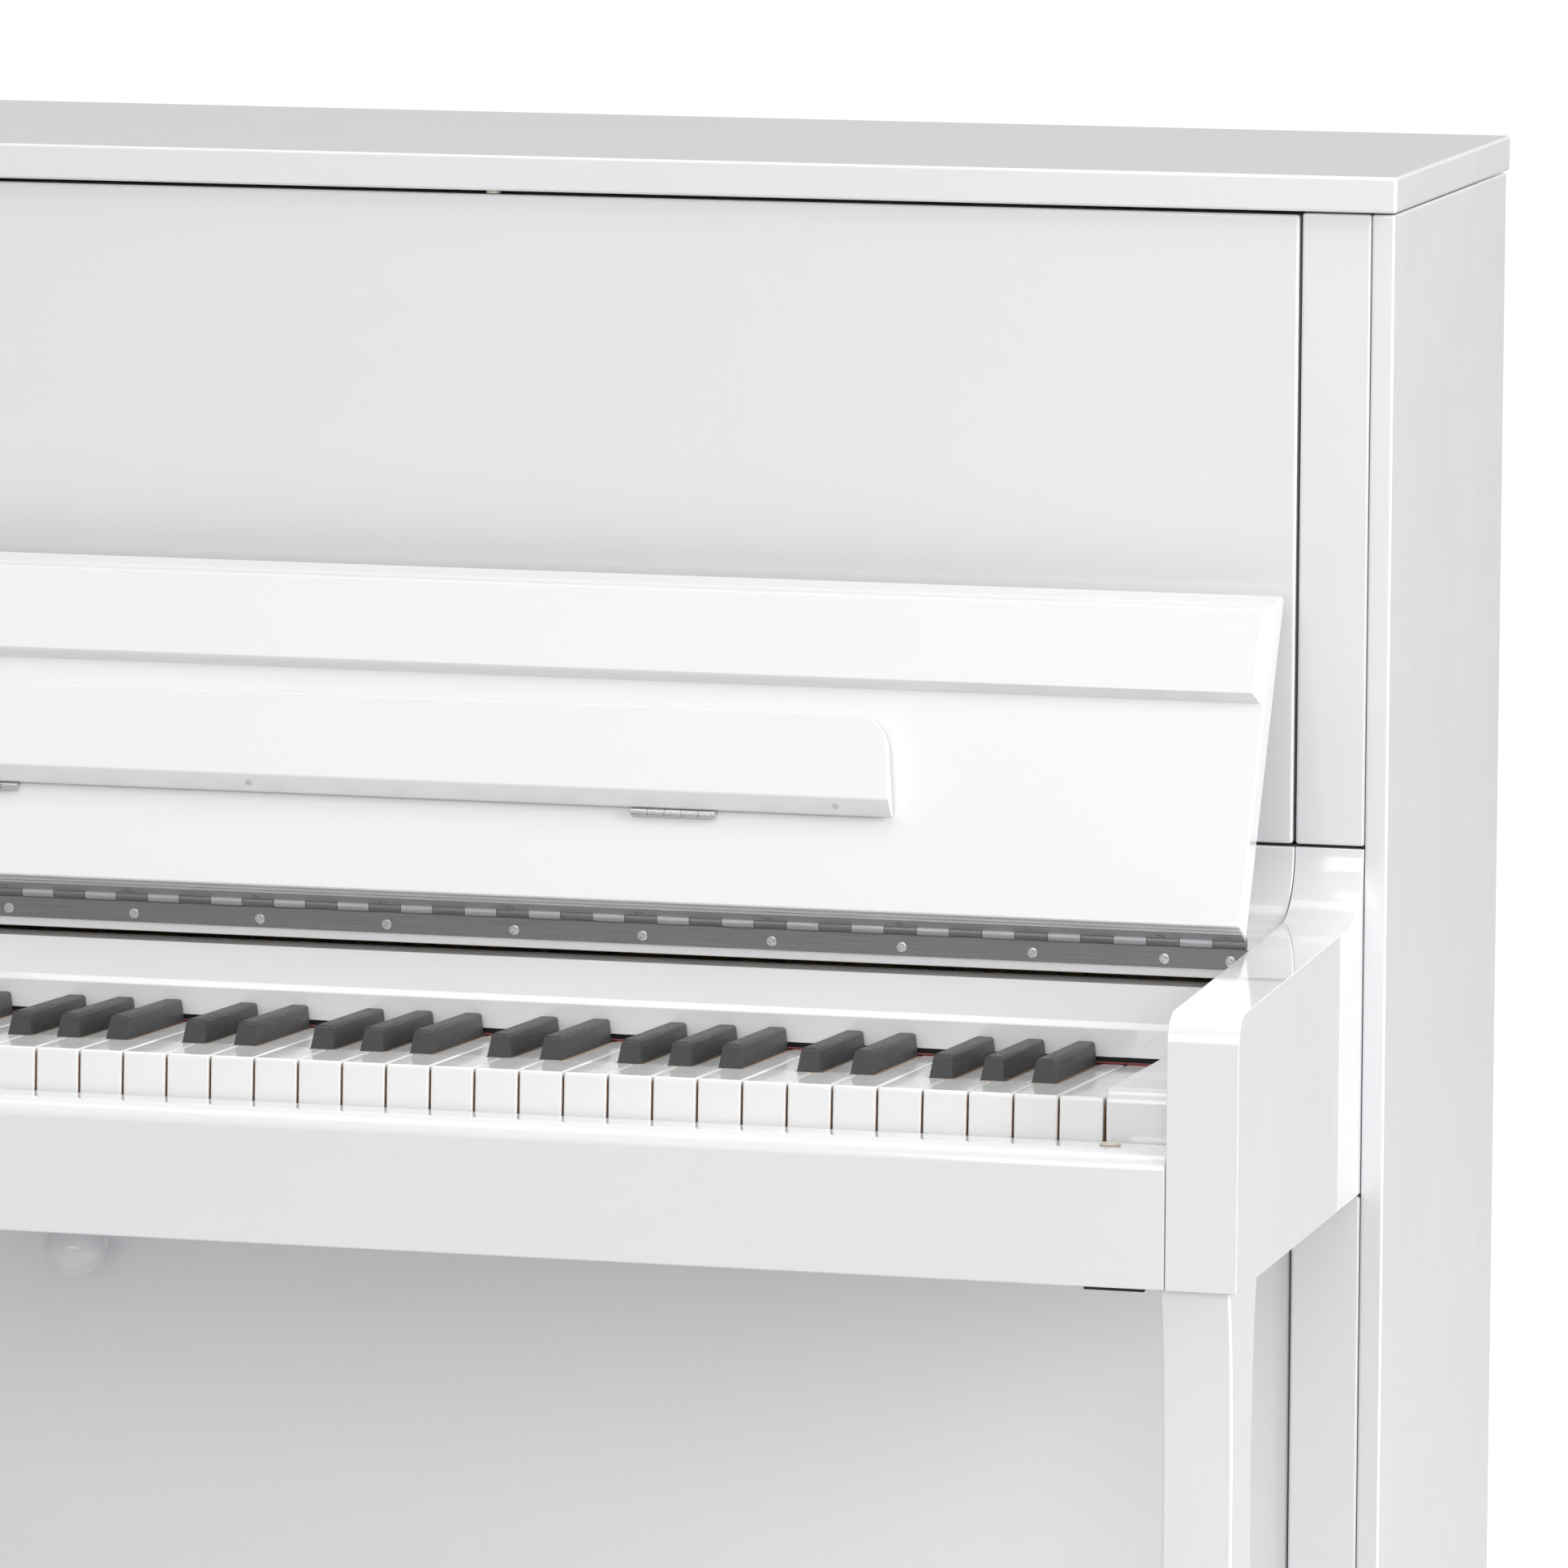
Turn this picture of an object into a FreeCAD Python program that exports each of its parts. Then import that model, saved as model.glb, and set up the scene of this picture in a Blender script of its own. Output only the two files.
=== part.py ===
import FreeCAD, Part
import math
import os
import Sketcher

V = FreeCAD.Vector

# Upright piano, millimetres, +Z up. The player sits at -Y and +X is the treble end.
# The origin is on the floor at the middle of the piano's width and depth.

doc = FreeCAD.newDocument("upright_piano")
sheet = doc.addObject("Spreadsheet::Sheet", "sizes")


class Size:
    """A length with its number and the expression that binds it to the sheet."""

    def __init__(self, number, text):
        self.number = float(number)
        self.text = text

    def _join(self, other, sign, number):
        text = other.text if isinstance(other, Size) else repr(other)
        return Size(number, "(%s %s %s)" % (self.text, sign, text))

    def __add__(self, other):
        return self._join(other, "+", self.number + float(other))

    def __sub__(self, other):
        return self._join(other, "-", self.number - float(other))

    def __mul__(self, other):
        return self._join(other, "*", self.number * float(other))

    def __truediv__(self, other):
        return self._join(other, "/", self.number / float(other))

    def __radd__(self, other):
        return Size(other, repr(other)) + self

    def __rsub__(self, other):
        return Size(other, repr(other)) - self

    def __neg__(self):
        return 0 - self

    def __float__(self):
        return self.number


driving = {
    # the case as a whole
    "case_width": 1486, "case_depth": 608.5, "case_height": 1180, "panel_gap": 1.5,
    "side_thick": 28, "side_reveal": 12, "side_bottom": 32, "column_front": 303,
    "column_deep": 38, "arm_thick": 37, "edge_round": 1.5, "plinth_lift": 6, "joint_gap": 0.3,
    # lid and its hinges
    "lid_thick": 19, "lid_side_lap": 2, "lid_front_lap": 6, "lid_seat_gap": 1.2,
    "lid_pin_back": 3.2, "lid_knuckle": 2.9, "lid_pin": 1.2, "lid_hinge_length": 76, "lid_hinge_spread": 540,
    # arms, legs and toes
    "arm_bottom": 643.5, "arm_front_top": 783, "arm_back_top": 791, "arm_joint": 826.5,
    "arm_nose": 15, "leg_inset": 4, "leg_front": 6, "leg_top_deep": 66,
    "leg_deep": 46, "leg_swell": 90, "leg_side_gap": 1, "toe_height": 42, "toe_nose": 16,
    "toe_slope": 6, "toe_front": 2, "toe_spare": 2,
    # key bed, slip and cheeks
    "slip_thick": 26, "slip_top": 713, "slip_round": 10, "bed_thick": 32, "bed_back": 440,
    "cheek_top": 740, "cheek_round": 8, "cheek_fall": 5, "cheek_lead": 1, "cheek_gap": 1.2, "button_long": 11, "button_wide": 7,
    # keyboard
    "key_offset": 43, "key_pitch": 23.56, "key_gap": 1.0, "key_top": 735, "key_front": 29,
    "key_height": 23, "key_length": 380, "key_pivot": 215, "key_tilt": 3.0, "head_length": 51,
    "sharp_length": 95, "sharp_height": 12, "sharp_width": 12.2, "sharp_gap": 1.0,
    # name board and hinge rail
    "name_front": 177.5, "name_bottom": 731, "name_step": 746, "name_top": 767.6,
    "name_lean": 12, "name_bevel": 3, "name_back": 10, "rail_bottom": 771, "rail_deep": 20,
    # fallboard and its long hinge
    "fall_pin_deep": 198, "fall_pin_height": 790, "fall_lean": 27, "fall_length": 188.5,
    "fall_thick": 18, "fall_back": 4, "fall_end_gap": 2.5, "knuckle_radius": 3,
    "hinge_leaf": 14, "hinge_plate": 1.2, "knuckle_pitch": 17.5, "hinge_pin": 1.1,
    "fall_crest": 9, "fall_shoulder": 178.2, "strip_low": 123.8, "strip_top": 173.5,
    "strip_thick": 6, "strip_end": 2, "strip_bevel": 3.7,
    # music desk leaf
    "desk_width": 1004, "desk_high": 53.4, "desk_thick": 9, "desk_place": 50, "desk_bevel": 7,
    "desk_round": 15, "desk_taper": 9, "desk_hinge_length": 46, "desk_hinge_spread": 384,
    "desk_hinge_rise": 12, "desk_knuckle": 2, "desk_pin": 0.8,
    # panels and bottom
    "panel_thick": 20, "lower_panel_bottom": 96, "board_thick": 22, "knob_radius": 16.5,
    "knob_drop": 60.5, "knob_reach": 42, "knob_side": 26,
    # back, soundboard and strung frame
    "post_wide": 62, "post_deep": 66, "beam_high": 118, "sill_high": 84, "board_place": 515,
    "soundboard_thick": 9, "rib_wide": 24, "rib_deep": 15, "plate_place": 482,
    "plate_thick": 9, "plate_border": 62, "string_place": 470,
    # pedals and casters
    "pedal_spread": 78, "pedal_wide": 34, "pedal_height": 78, "pedal_tip": 196,
    "pedal_pivot": 398, "pedal_back": 460, "rod_radius": 5, "wheel_radius": 17,
    "wheel_wide": 16, "axle_radius": 3, "caster_front": 70, "caster_back": 560,
}
size = {}
for row, (alias, number) in enumerate(driving.items(), 1):
    sheet.set("A%d" % row, alias)
    sheet.set("B%d" % row, str(number))
    sheet.setAlias("B%d" % row, alias)
    size[alias] = Size(number, "sizes." + alias)
doc.recompute()


ZERO = Size(0, "0")


def d(alias):
    return size[alias]


def n(alias):
    return size[alias].number


# Places that several pieces share. "deep" is measured backwards from the front of the arms.
hinge_proud = d("lid_pin_back") + d("lid_knuckle")
half_depth = (d("case_depth") + hinge_proud) / 2
half_width = d("case_width") / 2
arm_outer = half_width - d("side_reveal")
arm_inner = arm_outer - d("arm_thick")
lid_bottom = d("case_height") - d("lid_thick")
case_top = lid_bottom - d("lid_seat_gap")
bed_top = d("arm_bottom") + d("bed_thick")
plinth = d("side_bottom") + d("plinth_lift")
keys_left = d("key_offset") - d("key_pitch") * 26
keys_right = d("key_offset") + d("key_pitch") * 26
pivot_deep = d("key_front") + d("key_pivot")
tilt = math.radians(n("key_tilt"))

parts = {}


def bind(thing, **places):
    for name, value in places.items():
        thing.setExpression(name.replace("__", "."), value.text)


def place(thing, x, deep=ZERO, z=ZERO):
    """Puts a piece at x, at a depth behind the arm fronts, and at a height."""
    thing.setExpression("Placement.Base.x", x.text)
    thing.setExpression("Placement.Base.y", (deep - half_depth).text)
    thing.setExpression("Placement.Base.z", z.text)


def finish(thing, label):
    thing.Label = label
    parts[label] = thing
    return thing


def draw(body, plane, points):
    """A closed outline on one of the body's own planes, each corner bound to the sheet."""
    sketch = body.newObject("Sketcher::SketchObject", body.Name + "_outline")
    origin_plane = [f for f in body.Origin.OriginFeatures if f.Role == plane][0]
    sketch.AttachmentSupport = [(origin_plane, "")]
    sketch.MapMode = "FlatFace"
    count = len(points)
    for i, (a, b) in enumerate(points):
        c, e = points[(i + 1) % count]
        sketch.addGeometry(Part.LineSegment(V(float(a), float(b), 0), V(float(c), float(e), 0)))
    for i in range(count):
        sketch.addConstraint(Sketcher.Constraint("Coincident", i, 2, (i + 1) % count, 1))
    for i, (a, b) in enumerate(points):
        for kind, value in (("DistanceX", a), ("DistanceY", b)):
            number = sketch.addConstraint(Sketcher.Constraint(kind, -1, 1, i, 1, float(value)))
            if isinstance(value, Size):
                sketch.setExpression("Constraints[%d]" % number, value.text)
    return sketch


def extrude(label, plane, points, length, reverse=False):
    """A body made by padding one outline."""
    body = doc.addObject("PartDesign::Body", label)
    sketch = draw(body, plane, points)
    pad = body.newObject("PartDesign::Pad", label + "_pad")
    pad.Profile = sketch
    pad.Reversed = reverse
    pad.setExpression("Length", length.text)
    sketch.Visibility = False
    doc.recompute()
    return finish(body, label)


def edges_at(body, test):
    """Names of the tip's edges whose middle passes a test."""
    names = []
    for i, edge in enumerate(body.Tip.Shape.Edges, 1):
        middle = edge.valueAt((edge.FirstParameter + edge.LastParameter) / 2)
        if test(middle, edge):
            names.append("Edge%d" % i)
    return names


def dress(body, kind, amount, test):
    """Rounds or bevels the edges that pass a test."""
    base, names = body.Tip, edges_at(body, test)
    feature = body.newObject("PartDesign::" + kind, body.Name + "_" + kind.lower())
    feature.Base = (base, names)
    feature.setExpression("Radius" if kind == "Fillet" else "Size", amount.text)
    body.Tip = feature
    doc.recompute()


def near(a, b, slack=0.05):
    return abs(float(a) - float(b)) < slack


def box(label, x, deep, z, wide, long, high):
    """A plain board or bar, bound to the sheet."""
    thing = doc.addObject("Part::Box", label)
    bind(thing, Length=wide, Width=long, Height=high)
    place(thing, x, deep, z)
    return finish(thing, label)


def group(label, shapes):
    """Pieces that share one node, made from shapes already in their places."""
    thing = doc.addObject("Part::Feature", label)
    thing.Shape = shapes[0] if len(shapes) == 1 else Part.makeCompound(shapes)
    return finish(thing, label)


def at(x, deep, z):
    return V(float(x), float(deep) - float(half_depth), float(z))


def block(x, deep, z, wide, long, high):
    """A box as a shape, in place, for grouped pieces."""
    return Part.makeBox(float(wide), float(long), float(high), at(x, deep, z))


def rod(x, deep, z, radius, length, axis):
    return Part.makeCylinder(float(radius), float(length), at(x, deep, z), axis)


X_AXIS, Y_AXIS, Z_AXIS = V(1, 0, 0), V(0, 1, 0), V(0, 0, 1)


def lean_back(shape):
    """Turns a shape from the fallboard's own frame, upright at its pin, to its open place."""
    turned = shape.copy()
    turned.rotate(V(0, 0, 0), X_AXIS, -n("fall_lean"))
    turned.translate(at(0, d("fall_pin_deep"), d("fall_pin_height")))
    return turned


def lean_body(body, x, y=None, z=None):
    """Puts a body drawn in the fallboard's own frame in its open place."""
    y = "0" if y is None else y.text
    z = "0" if z is None else z.text
    angle = d("fall_lean").text
    body.Placement.Rotation = FreeCAD.Rotation(V(-1, 0, 0), n("fall_lean"))
    body.setExpression("Placement.Rotation.Angle", angle)
    body.setExpression("Placement.Base.x", x.text)
    body.setExpression("Placement.Base.y", "%s + %s * cos(%s) + %s * sin(%s)" % (
        (d("fall_pin_deep") - half_depth).text, y, angle, z, angle))
    body.setExpression("Placement.Base.z", "%s - %s * sin(%s) + %s * cos(%s)" % (
        d("fall_pin_height").text, y, angle, z, angle))


def make_sides():
    """Side panels: full boards at the back, and a narrow lip beside the column."""
    lip_deep = d("column_front") + d("column_deep")
    lip = d("side_thick") - d("side_reveal")
    for side, label in ((-1, "side_panel_left"), (1, "side_panel_right")):
        outline = [(ZERO, d("case_depth")), (d("side_thick"), d("case_depth")),
                   (d("side_thick"), d("column_front")), (lip, d("column_front")),
                   (lip, lip_deep), (ZERO, lip_deep)]
        if side < 0:
            outline = [(d("side_thick") - a, b) for a, b in outline]
        body = extrude(label, "XY_Plane", outline, case_top - d("side_bottom"))
        outer = n("side_thick") if side > 0 else 0.0
        dress(body, "Fillet", d("edge_round"),
              lambda m, e: near(m.x, outer) and near(m.y, n("column_front")))
        start = half_width - d("side_thick") if side > 0 else -half_width
        place(body, start, ZERO, d("side_bottom"))


def make_columns():
    """Upper and lower columns between the side panels and the front panels."""
    wide, long = d("arm_thick") - d("joint_gap"), d("column_deep") - d("joint_gap")
    upper_low = d("arm_joint") + d("panel_gap")
    for side, name in ((-1, "left"), (1, "right")):
        start = arm_inner if side > 0 else d("joint_gap") - arm_outer
        box("upper_column_" + name, start, d("column_front"), upper_low, wide, long,
            case_top - upper_low)
        box("lower_column_" + name, start, d("column_front"), d("side_bottom"), wide, long,
            d("arm_bottom") - d("side_bottom") - d("panel_gap"))


def make_arms():
    """Arms: a rounded nose, a nearly flat top and a sweep up to the column."""
    back = d("column_front") + d("column_deep") - d("joint_gap")
    outline = [(ZERO, d("arm_bottom")), (ZERO, d("arm_front_top")),
               (d("column_front"), d("arm_back_top")), (d("column_front"), d("arm_joint")),
               (back, d("arm_joint")), (back, d("arm_bottom"))]
    for side, label in ((-1, "arm_left"), (1, "arm_right")):
        body = extrude(label, "YZ_Plane", outline, d("arm_thick") - d("joint_gap"))
        dress(body, "Fillet", d("arm_nose"),
              lambda m, e: near(m.y, 0) and near(m.z, n("arm_front_top")))
        dress(body, "Fillet", d("arm_joint") - d("arm_back_top") - 0.5,
              lambda m, e: near(m.y, n("column_front")) and near(m.z, n("arm_back_top")))
        place(body, arm_inner if side > 0 else d("joint_gap") - arm_outer)


def make_legs_and_toes():
    """Legs curve in from a deep head to a slimmer shaft and stand on the toes."""
    toe_top = plinth + d("toe_height")
    head = d("arm_bottom") - d("joint_gap")
    foot = toe_top + d("joint_gap")
    step = (d("leg_top_deep") - d("leg_deep")) / 2
    front = d("leg_front") + step
    back = front + d("leg_deep")
    knee = head - d("leg_swell")
    near_head = head - d("leg_swell") / 3
    outline = [(d("leg_front"), head), (front - step / 3, near_head), (front, knee), (front, foot),
               (back, foot), (back, knee), (back + step / 3, near_head), (back + step, head)]
    wide = d("arm_thick") - d("leg_side_gap")
    toe_back = d("column_front") - d("joint_gap")
    toe_outline = [(d("toe_front"), plinth), (d("toe_front"), toe_top - d("toe_nose")),
                   (d("toe_front") + d("toe_slope"), toe_top), (toe_back, toe_top),
                   (toe_back, plinth)]
    for side, name in ((-1, "left"), (1, "right")):
        inner = arm_inner - d("leg_inset")
        start = inner if side > 0 else -inner - wide
        leg = extrude("leg_" + name, "YZ_Plane", outline, wide)
        dress(leg, "Fillet", d("edge_round"), lambda m, e: near(m.y, front) and e.Length > 300)
        place(leg, start)
        toe = extrude("toe_block_" + name, "YZ_Plane", toe_outline, wide + d("toe_spare") * 2)
        place(toe, start - d("toe_spare"))


def make_lid():
    """One-piece lid, hinged along its back edge on three butt hinges."""
    front = d("column_front") - d("lid_front_lap")
    half = half_width + d("lid_side_lap")
    lid = extrude("top_lid", "XY_Plane", [(-half, front), (half, front), (half, d("case_depth")),
                                          (-half, d("case_depth"))], d("lid_thick"))
    dress(lid, "Fillet", d("edge_round"), lambda m, e: near(m.z, n("lid_thick")))
    place(lid, ZERO, ZERO, lid_bottom)
    pin_deep = d("case_depth") + d("lid_pin_back")
    pin_height = lid_bottom - d("lid_seat_gap") / 2
    length = n("lid_hinge_length")
    step = length / 5
    back = n("case_depth") + 0.1
    plate, leaf = n("hinge_plate"), 16
    fixed, moving = [], []
    for middle in (-n("lid_hinge_spread"), 0.0, n("lid_hinge_spread")):
        left = middle - length / 2
        clear = rod(left - 1, pin_deep, pin_height, n("lid_knuckle") + 0.3, length + 2, X_AXIS)
        bore = rod(left - 1, pin_deep, pin_height, n("lid_pin") + 0.05, length + 2, X_AXIS)
        for leaves, knuckles, sign in ((fixed, (0, 2, 4), -1), (moving, (1, 3), 1)):
            low = float(pin_height) + 0.6 * sign - (leaf if sign < 0 else 0)
            shape = block(left, back, low, length, plate, leaf).cut(clear)
            web_low = float(pin_height) - (3.4 if sign < 0 else 0.0)
            for k in knuckles:
                start = left + k * step + 0.15
                tube = rod(start, pin_deep, pin_height, d("lid_knuckle"), step - 0.3, X_AXIS)
                web = block(start, back, web_low, step - 0.3, plate, 3.4)
                shape = shape.fuse([tube, web])
            leaves.append(shape.cut(bore).removeSplitter())
        fixed.append(rod(left + 0.3, pin_deep, pin_height, n("lid_pin"), length - 0.6, X_AXIS))
    group("lid_hinge_plates", fixed)
    group("lid_hinge_flaps", moving)


def make_panels():
    """Upper and lower front panels, bottom rail and board, and the lower panel's ball knob."""
    inner = arm_inner - 1.5
    upper_low = d("arm_joint") + d("panel_gap")
    box("upper_panel", -inner, d("column_front") - 0.5, upper_low, inner * 2,
        d("panel_thick"), case_top - upper_low - 1)
    lower_high = d("arm_bottom") - 1
    box("lower_panel", -inner, d("column_front") + 3, d("lower_panel_bottom"), inner * 2,
        d("panel_thick"), lower_high - d("lower_panel_bottom"))
    board_low = plinth
    box("bottom_board", -(half_width - d("side_thick") - 0.3), d("column_front") + 46,
        board_low, (half_width - d("side_thick") - 0.3) * 2,
        d("case_depth") - d("column_front") - 46 - d("post_deep") - 1, d("board_thick"))
    rail_high = d("lower_panel_bottom") - 1.5 - board_low
    rail = block(-inner, d("column_front") + 3, board_low, inner * 2, d("panel_thick"), rail_high)
    for column in (-1, 0, 1):
        slot = block(column * n("pedal_spread") - n("pedal_wide") / 2, n("column_front"),
                     n("pedal_height") - 24, n("pedal_wide"), 60, 29)
        rail = rail.cut(slot)
    group("bottom_rail", [rail])
    knob_height = d("arm_bottom") - d("knob_drop")
    ball = Part.makeSphere(n("knob_radius"), at(n("knob_side"), d("column_front") + 3 - d("knob_reach")
                                                + d("knob_radius"), knob_height))
    stem = rod(n("knob_side"), n("column_front") + 2.9, knob_height, 7, n("knob_reach") - n("knob_radius") - 4,
               -Y_AXIS)
    group("panel_knob", [ball.fuse(stem)])


def make_key_bed():
    """Key bed, key slip with its rounded top edge, cheek blocks, buttons and key frame."""
    inner = arm_inner - 0.4
    box("key_bed", -inner, d("slip_thick") + 0.4, d("arm_bottom"), inner * 2,
        d("bed_back") - d("slip_thick") - 0.4, d("bed_thick"))
    slip = extrude("key_slip", "YZ_Plane",
                   [(ZERO, d("arm_bottom")), (ZERO, d("slip_top")),
                    (d("slip_thick"), d("slip_top")), (d("slip_thick"), d("arm_bottom"))],
                   inner * 2)
    dress(slip, "Fillet", d("slip_round"), lambda m, e: near(m.y, 0) and near(m.z, n("slip_top")))
    place(slip, -inner)
    front, back = d("key_front") - d("cheek_lead"), d("name_front") - d("joint_gap")
    foot = bed_top + d("joint_gap")
    outline = [(front, foot), (front, d("cheek_top")), (back, d("cheek_top") - d("cheek_fall")),
               (back, foot)]
    spans = (("cheek_block_left", -inner, keys_left - d("cheek_gap")),
             ("cheek_block_right", keys_right + d("cheek_gap"), inner))
    for label, low, high in spans:
        cheek = extrude(label, "YZ_Plane", outline, high - low)
        dress(cheek, "Fillet", d("cheek_round"),
              lambda m, e: near(m.y, front) and near(m.z, n("cheek_top")))
        place(cheek, low)
    buttons = []
    for x in (float(keys_left) - 4, float(keys_right) + 6):
        matrix = FreeCAD.Matrix()
        matrix.scale(n("button_long") / n("button_wide"), 1, 1)
        button = Part.makeCylinder(n("button_wide") / 2, 2.4).transformGeometry(matrix)
        button.translate(at(x, d("slip_thick") - 9, d("slip_top")))
        buttons.append(button)
    group("slip_buttons", buttons)


def key_drop(behind):
    """How far the tops of the resting keys fall, this far behind their fronts."""
    return behind * math.tan(tilt)


def make_name_board():
    """Name board behind the keys and the shelf that carries the fallboard's hinge."""
    inner = arm_inner - 0.4
    back = d("fall_pin_deep") + d("hinge_plate") + 0.2
    board_back = back + d("name_back")
    board = extrude("name_board", "YZ_Plane",
                    [(d("name_front"), d("name_bottom")), (d("name_front"), d("name_step")),
                     (d("name_front") + d("name_bevel"), d("name_step") + d("name_bevel")),
                     (d("name_front") + d("name_lean"), d("name_top")),
                     (board_back, d("name_top")), (board_back, d("name_bottom"))], inner * 2)
    place(board, -inner)
    top = d("fall_pin_height") - d("knuckle_radius") - 0.4
    end = d("column_front") - 1
    sweep = d("arm_joint") - top - 1
    rail = extrude("hinge_rail", "YZ_Plane",
                   [(back, d("rail_bottom")), (back, top), (end, top), (end, d("arm_joint")),
                    (end + d("rail_deep"), d("arm_joint")), (end + d("rail_deep"), d("rail_bottom"))],
                   inner * 2)
    dress(rail, "Fillet", sweep, lambda m, e: near(m.y, end) and near(m.z, top))
    place(rail, -inner)


def make_fallboard():
    """Fallboard and its front strip, drawn upright from the hinge pin and then leaned back."""
    wide = arm_inner - d("fall_end_gap")
    low = d("hinge_plate") + 0.3
    front = -d("fall_back") - d("fall_thick")
    board = extrude("fallboard", "YZ_Plane",
                    [(-d("fall_back"), low), (-d("fall_back"), d("fall_length")),
                     (-d("fall_crest"), d("fall_length")), (front, d("fall_shoulder")),
                     (front, low)], wide * 2)
    dress(board, "Fillet", d("edge_round"),
          lambda m, e: m.z > n("fall_length") - 1 and near(e.Length, wide * 2, 1))
    lean_body(board, -wide)
    strip_front = front - d("strip_thick")
    strip_wide = wide - d("strip_end")
    strip = extrude("fallboard_strip", "YZ_Plane",
                    [(front, d("strip_low")), (strip_front, d("strip_low") + d("strip_bevel")),
                     (strip_front, d("strip_top")), (front, d("fall_shoulder"))], strip_wide * 2)
    lean_body(strip, -strip_wide)


def hinge_half(first, span, leaf, web_place):
    """One leaf of a long hinge: a plate with every second knuckle, bored for the pin."""
    pitch = n("knuckle_pitch")
    count = int(round(span / pitch))
    start = -span / 2
    clear = Part.makeCylinder(n("knuckle_radius") + 0.3, span + 2, V(start - 1, 0, 0), X_AXIS)
    bore = Part.makeCylinder(n("hinge_pin") + 0.06, span + 2, V(start - 1, 0, 0), X_AXIS)
    pieces = []
    for k in range(first, count, 2):
        left = start + k * pitch + 0.15
        pieces.append(Part.makeCylinder(n("knuckle_radius"), pitch - 0.3, V(left, 0, 0), X_AXIS))
        pieces.append(web_place(left, pitch - 0.3, n("knuckle_radius") + 0.6))
    return leaf.cut(clear).fuse(pieces).cut(bore).removeSplitter()


def make_long_hinge():
    """Continuous hinge: one leaf on the rail with the pin, one on the fallboard's edge."""
    pitch = n("knuckle_pitch")
    length = (arm_inner - d("fall_end_gap")).number * 2
    span = int(length / pitch) * pitch
    plate, leaf, gap = n("hinge_plate"), n("hinge_leaf"), 0.15
    upper = Part.makeBox(span, leaf, plate, V(-span / 2, -leaf, gap))
    upper = hinge_half(1, span, upper,
                       lambda left, wide, web: Part.makeBox(wide, web, plate, V(left, -web, gap)))
    group("hinge_upper_leaf", [lean_back(upper)])
    lower = Part.makeBox(span, plate, leaf, V(-span / 2, gap, -leaf))
    lower = hinge_half(0, span, lower,
                       lambda left, wide, web: Part.makeBox(wide, plate, web, V(left, gap, -web)))
    pin = Part.makeCylinder(n("hinge_pin"), span, V(-span / 2, 0, 0), X_AXIS)
    pin_at = at(0, d("fall_pin_deep"), d("fall_pin_height"))
    lower.translate(pin_at)
    pin.translate(pin_at)
    spacing = 4 * pitch
    first = span / 2 - 2.5 * pitch
    places = [first - k * spacing for k in range(int((first + span / 2) / spacing) + 1)]
    places.append(span / 2 - pitch / 2)
    depth = plate - 0.05
    holes = []
    screws = []
    for x in places:
        low = pin_at + V(x, gap + 0.05, -leaf * 0.69)
        screws.append(Part.makeCone(2.7, 1.5, depth, low, Y_AXIS))
        holes.append(Part.makeCone(2.85, 1.65, plate + 0.1, low - V(0, 0.1, 0), Y_AXIS))
    lower = lower.cut(holes)
    group("hinge_lower_leaf", [lower, pin])
    group("hinge_screws", screws)


def make_music_desk():
    """Folding desk leaf on three small butt hinges, folded up against the fallboard."""
    half = d("desk_width") / 2
    high = d("desk_high")
    outline = [(-half, ZERO), (d("desk_taper") - half, high), (half - d("desk_taper"), high),
               (half, ZERO)]
    desk = extrude("music_desk", "XZ_Plane", outline, d("desk_thick"))
    dress(desk, "Fillet", d("desk_round"),
          lambda m, e: near(m.z, high) and near(e.Length, n("desk_thick")))
    dress(desk, "Chamfer", d("desk_bevel"),
          lambda m, e: near(m.z, 0) and near(m.y, -n("desk_thick")) and e.Length > 300)
    face = -d("fall_back") - d("fall_thick")
    back = face - 1.7
    low = d("desk_place") + d("desk_knuckle") + 0.6
    lean_body(desk, ZERO, back, low)
    radius, length = n("desk_knuckle"), n("desk_hinge_length")
    step = length / 5
    pin_y, pin_z = float(face) - radius - 0.5, n("desk_place")
    thick, rise = 0.6, n("desk_hinge_rise")
    plates, flaps = [], []
    for middle in (-n("desk_hinge_spread"), 0.0, n("desk_hinge_spread")):
        left = middle - length / 2
        clear = Part.makeCylinder(radius + 0.25, length + 2, V(left - 1, pin_y, pin_z), X_AXIS)
        bore = Part.makeCylinder(n("desk_pin") + 0.05, length + 2, V(left - 1, pin_y, pin_z), X_AXIS)
        plate = Part.makeBox(length, thick, rise, V(left, float(face) - thick, pin_z)).cut(clear)
        flap = Part.makeBox(length, thick, rise, V(left, float(back), pin_z))
        flap = flap.cut(clear)
        for k in range(5):
            start = left + k * step + 0.15
            tube = Part.makeCylinder(radius, step - 0.3, V(start, pin_y, pin_z), X_AXIS)
            if k % 2 == 0:
                web = Part.makeBox(step - 0.3, thick, rise, V(start, float(face) - thick, pin_z))
                plate = plate.fuse([tube, web])
            else:
                web = Part.makeBox(step - 0.3, thick, rise, V(start, float(back), pin_z))
                flap = flap.fuse([tube, web])
        pin = Part.makeCylinder(n("desk_pin"), length, V(left, pin_y, pin_z), X_AXIS)
        plates += [lean_back(plate.cut(bore).removeSplitter()), lean_back(pin)]
        flaps.append(lean_back(flap.cut(bore).removeSplitter()))
    group("desk_hinge_plates", plates)
    group("desk_hinge_flaps", flaps)


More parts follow.
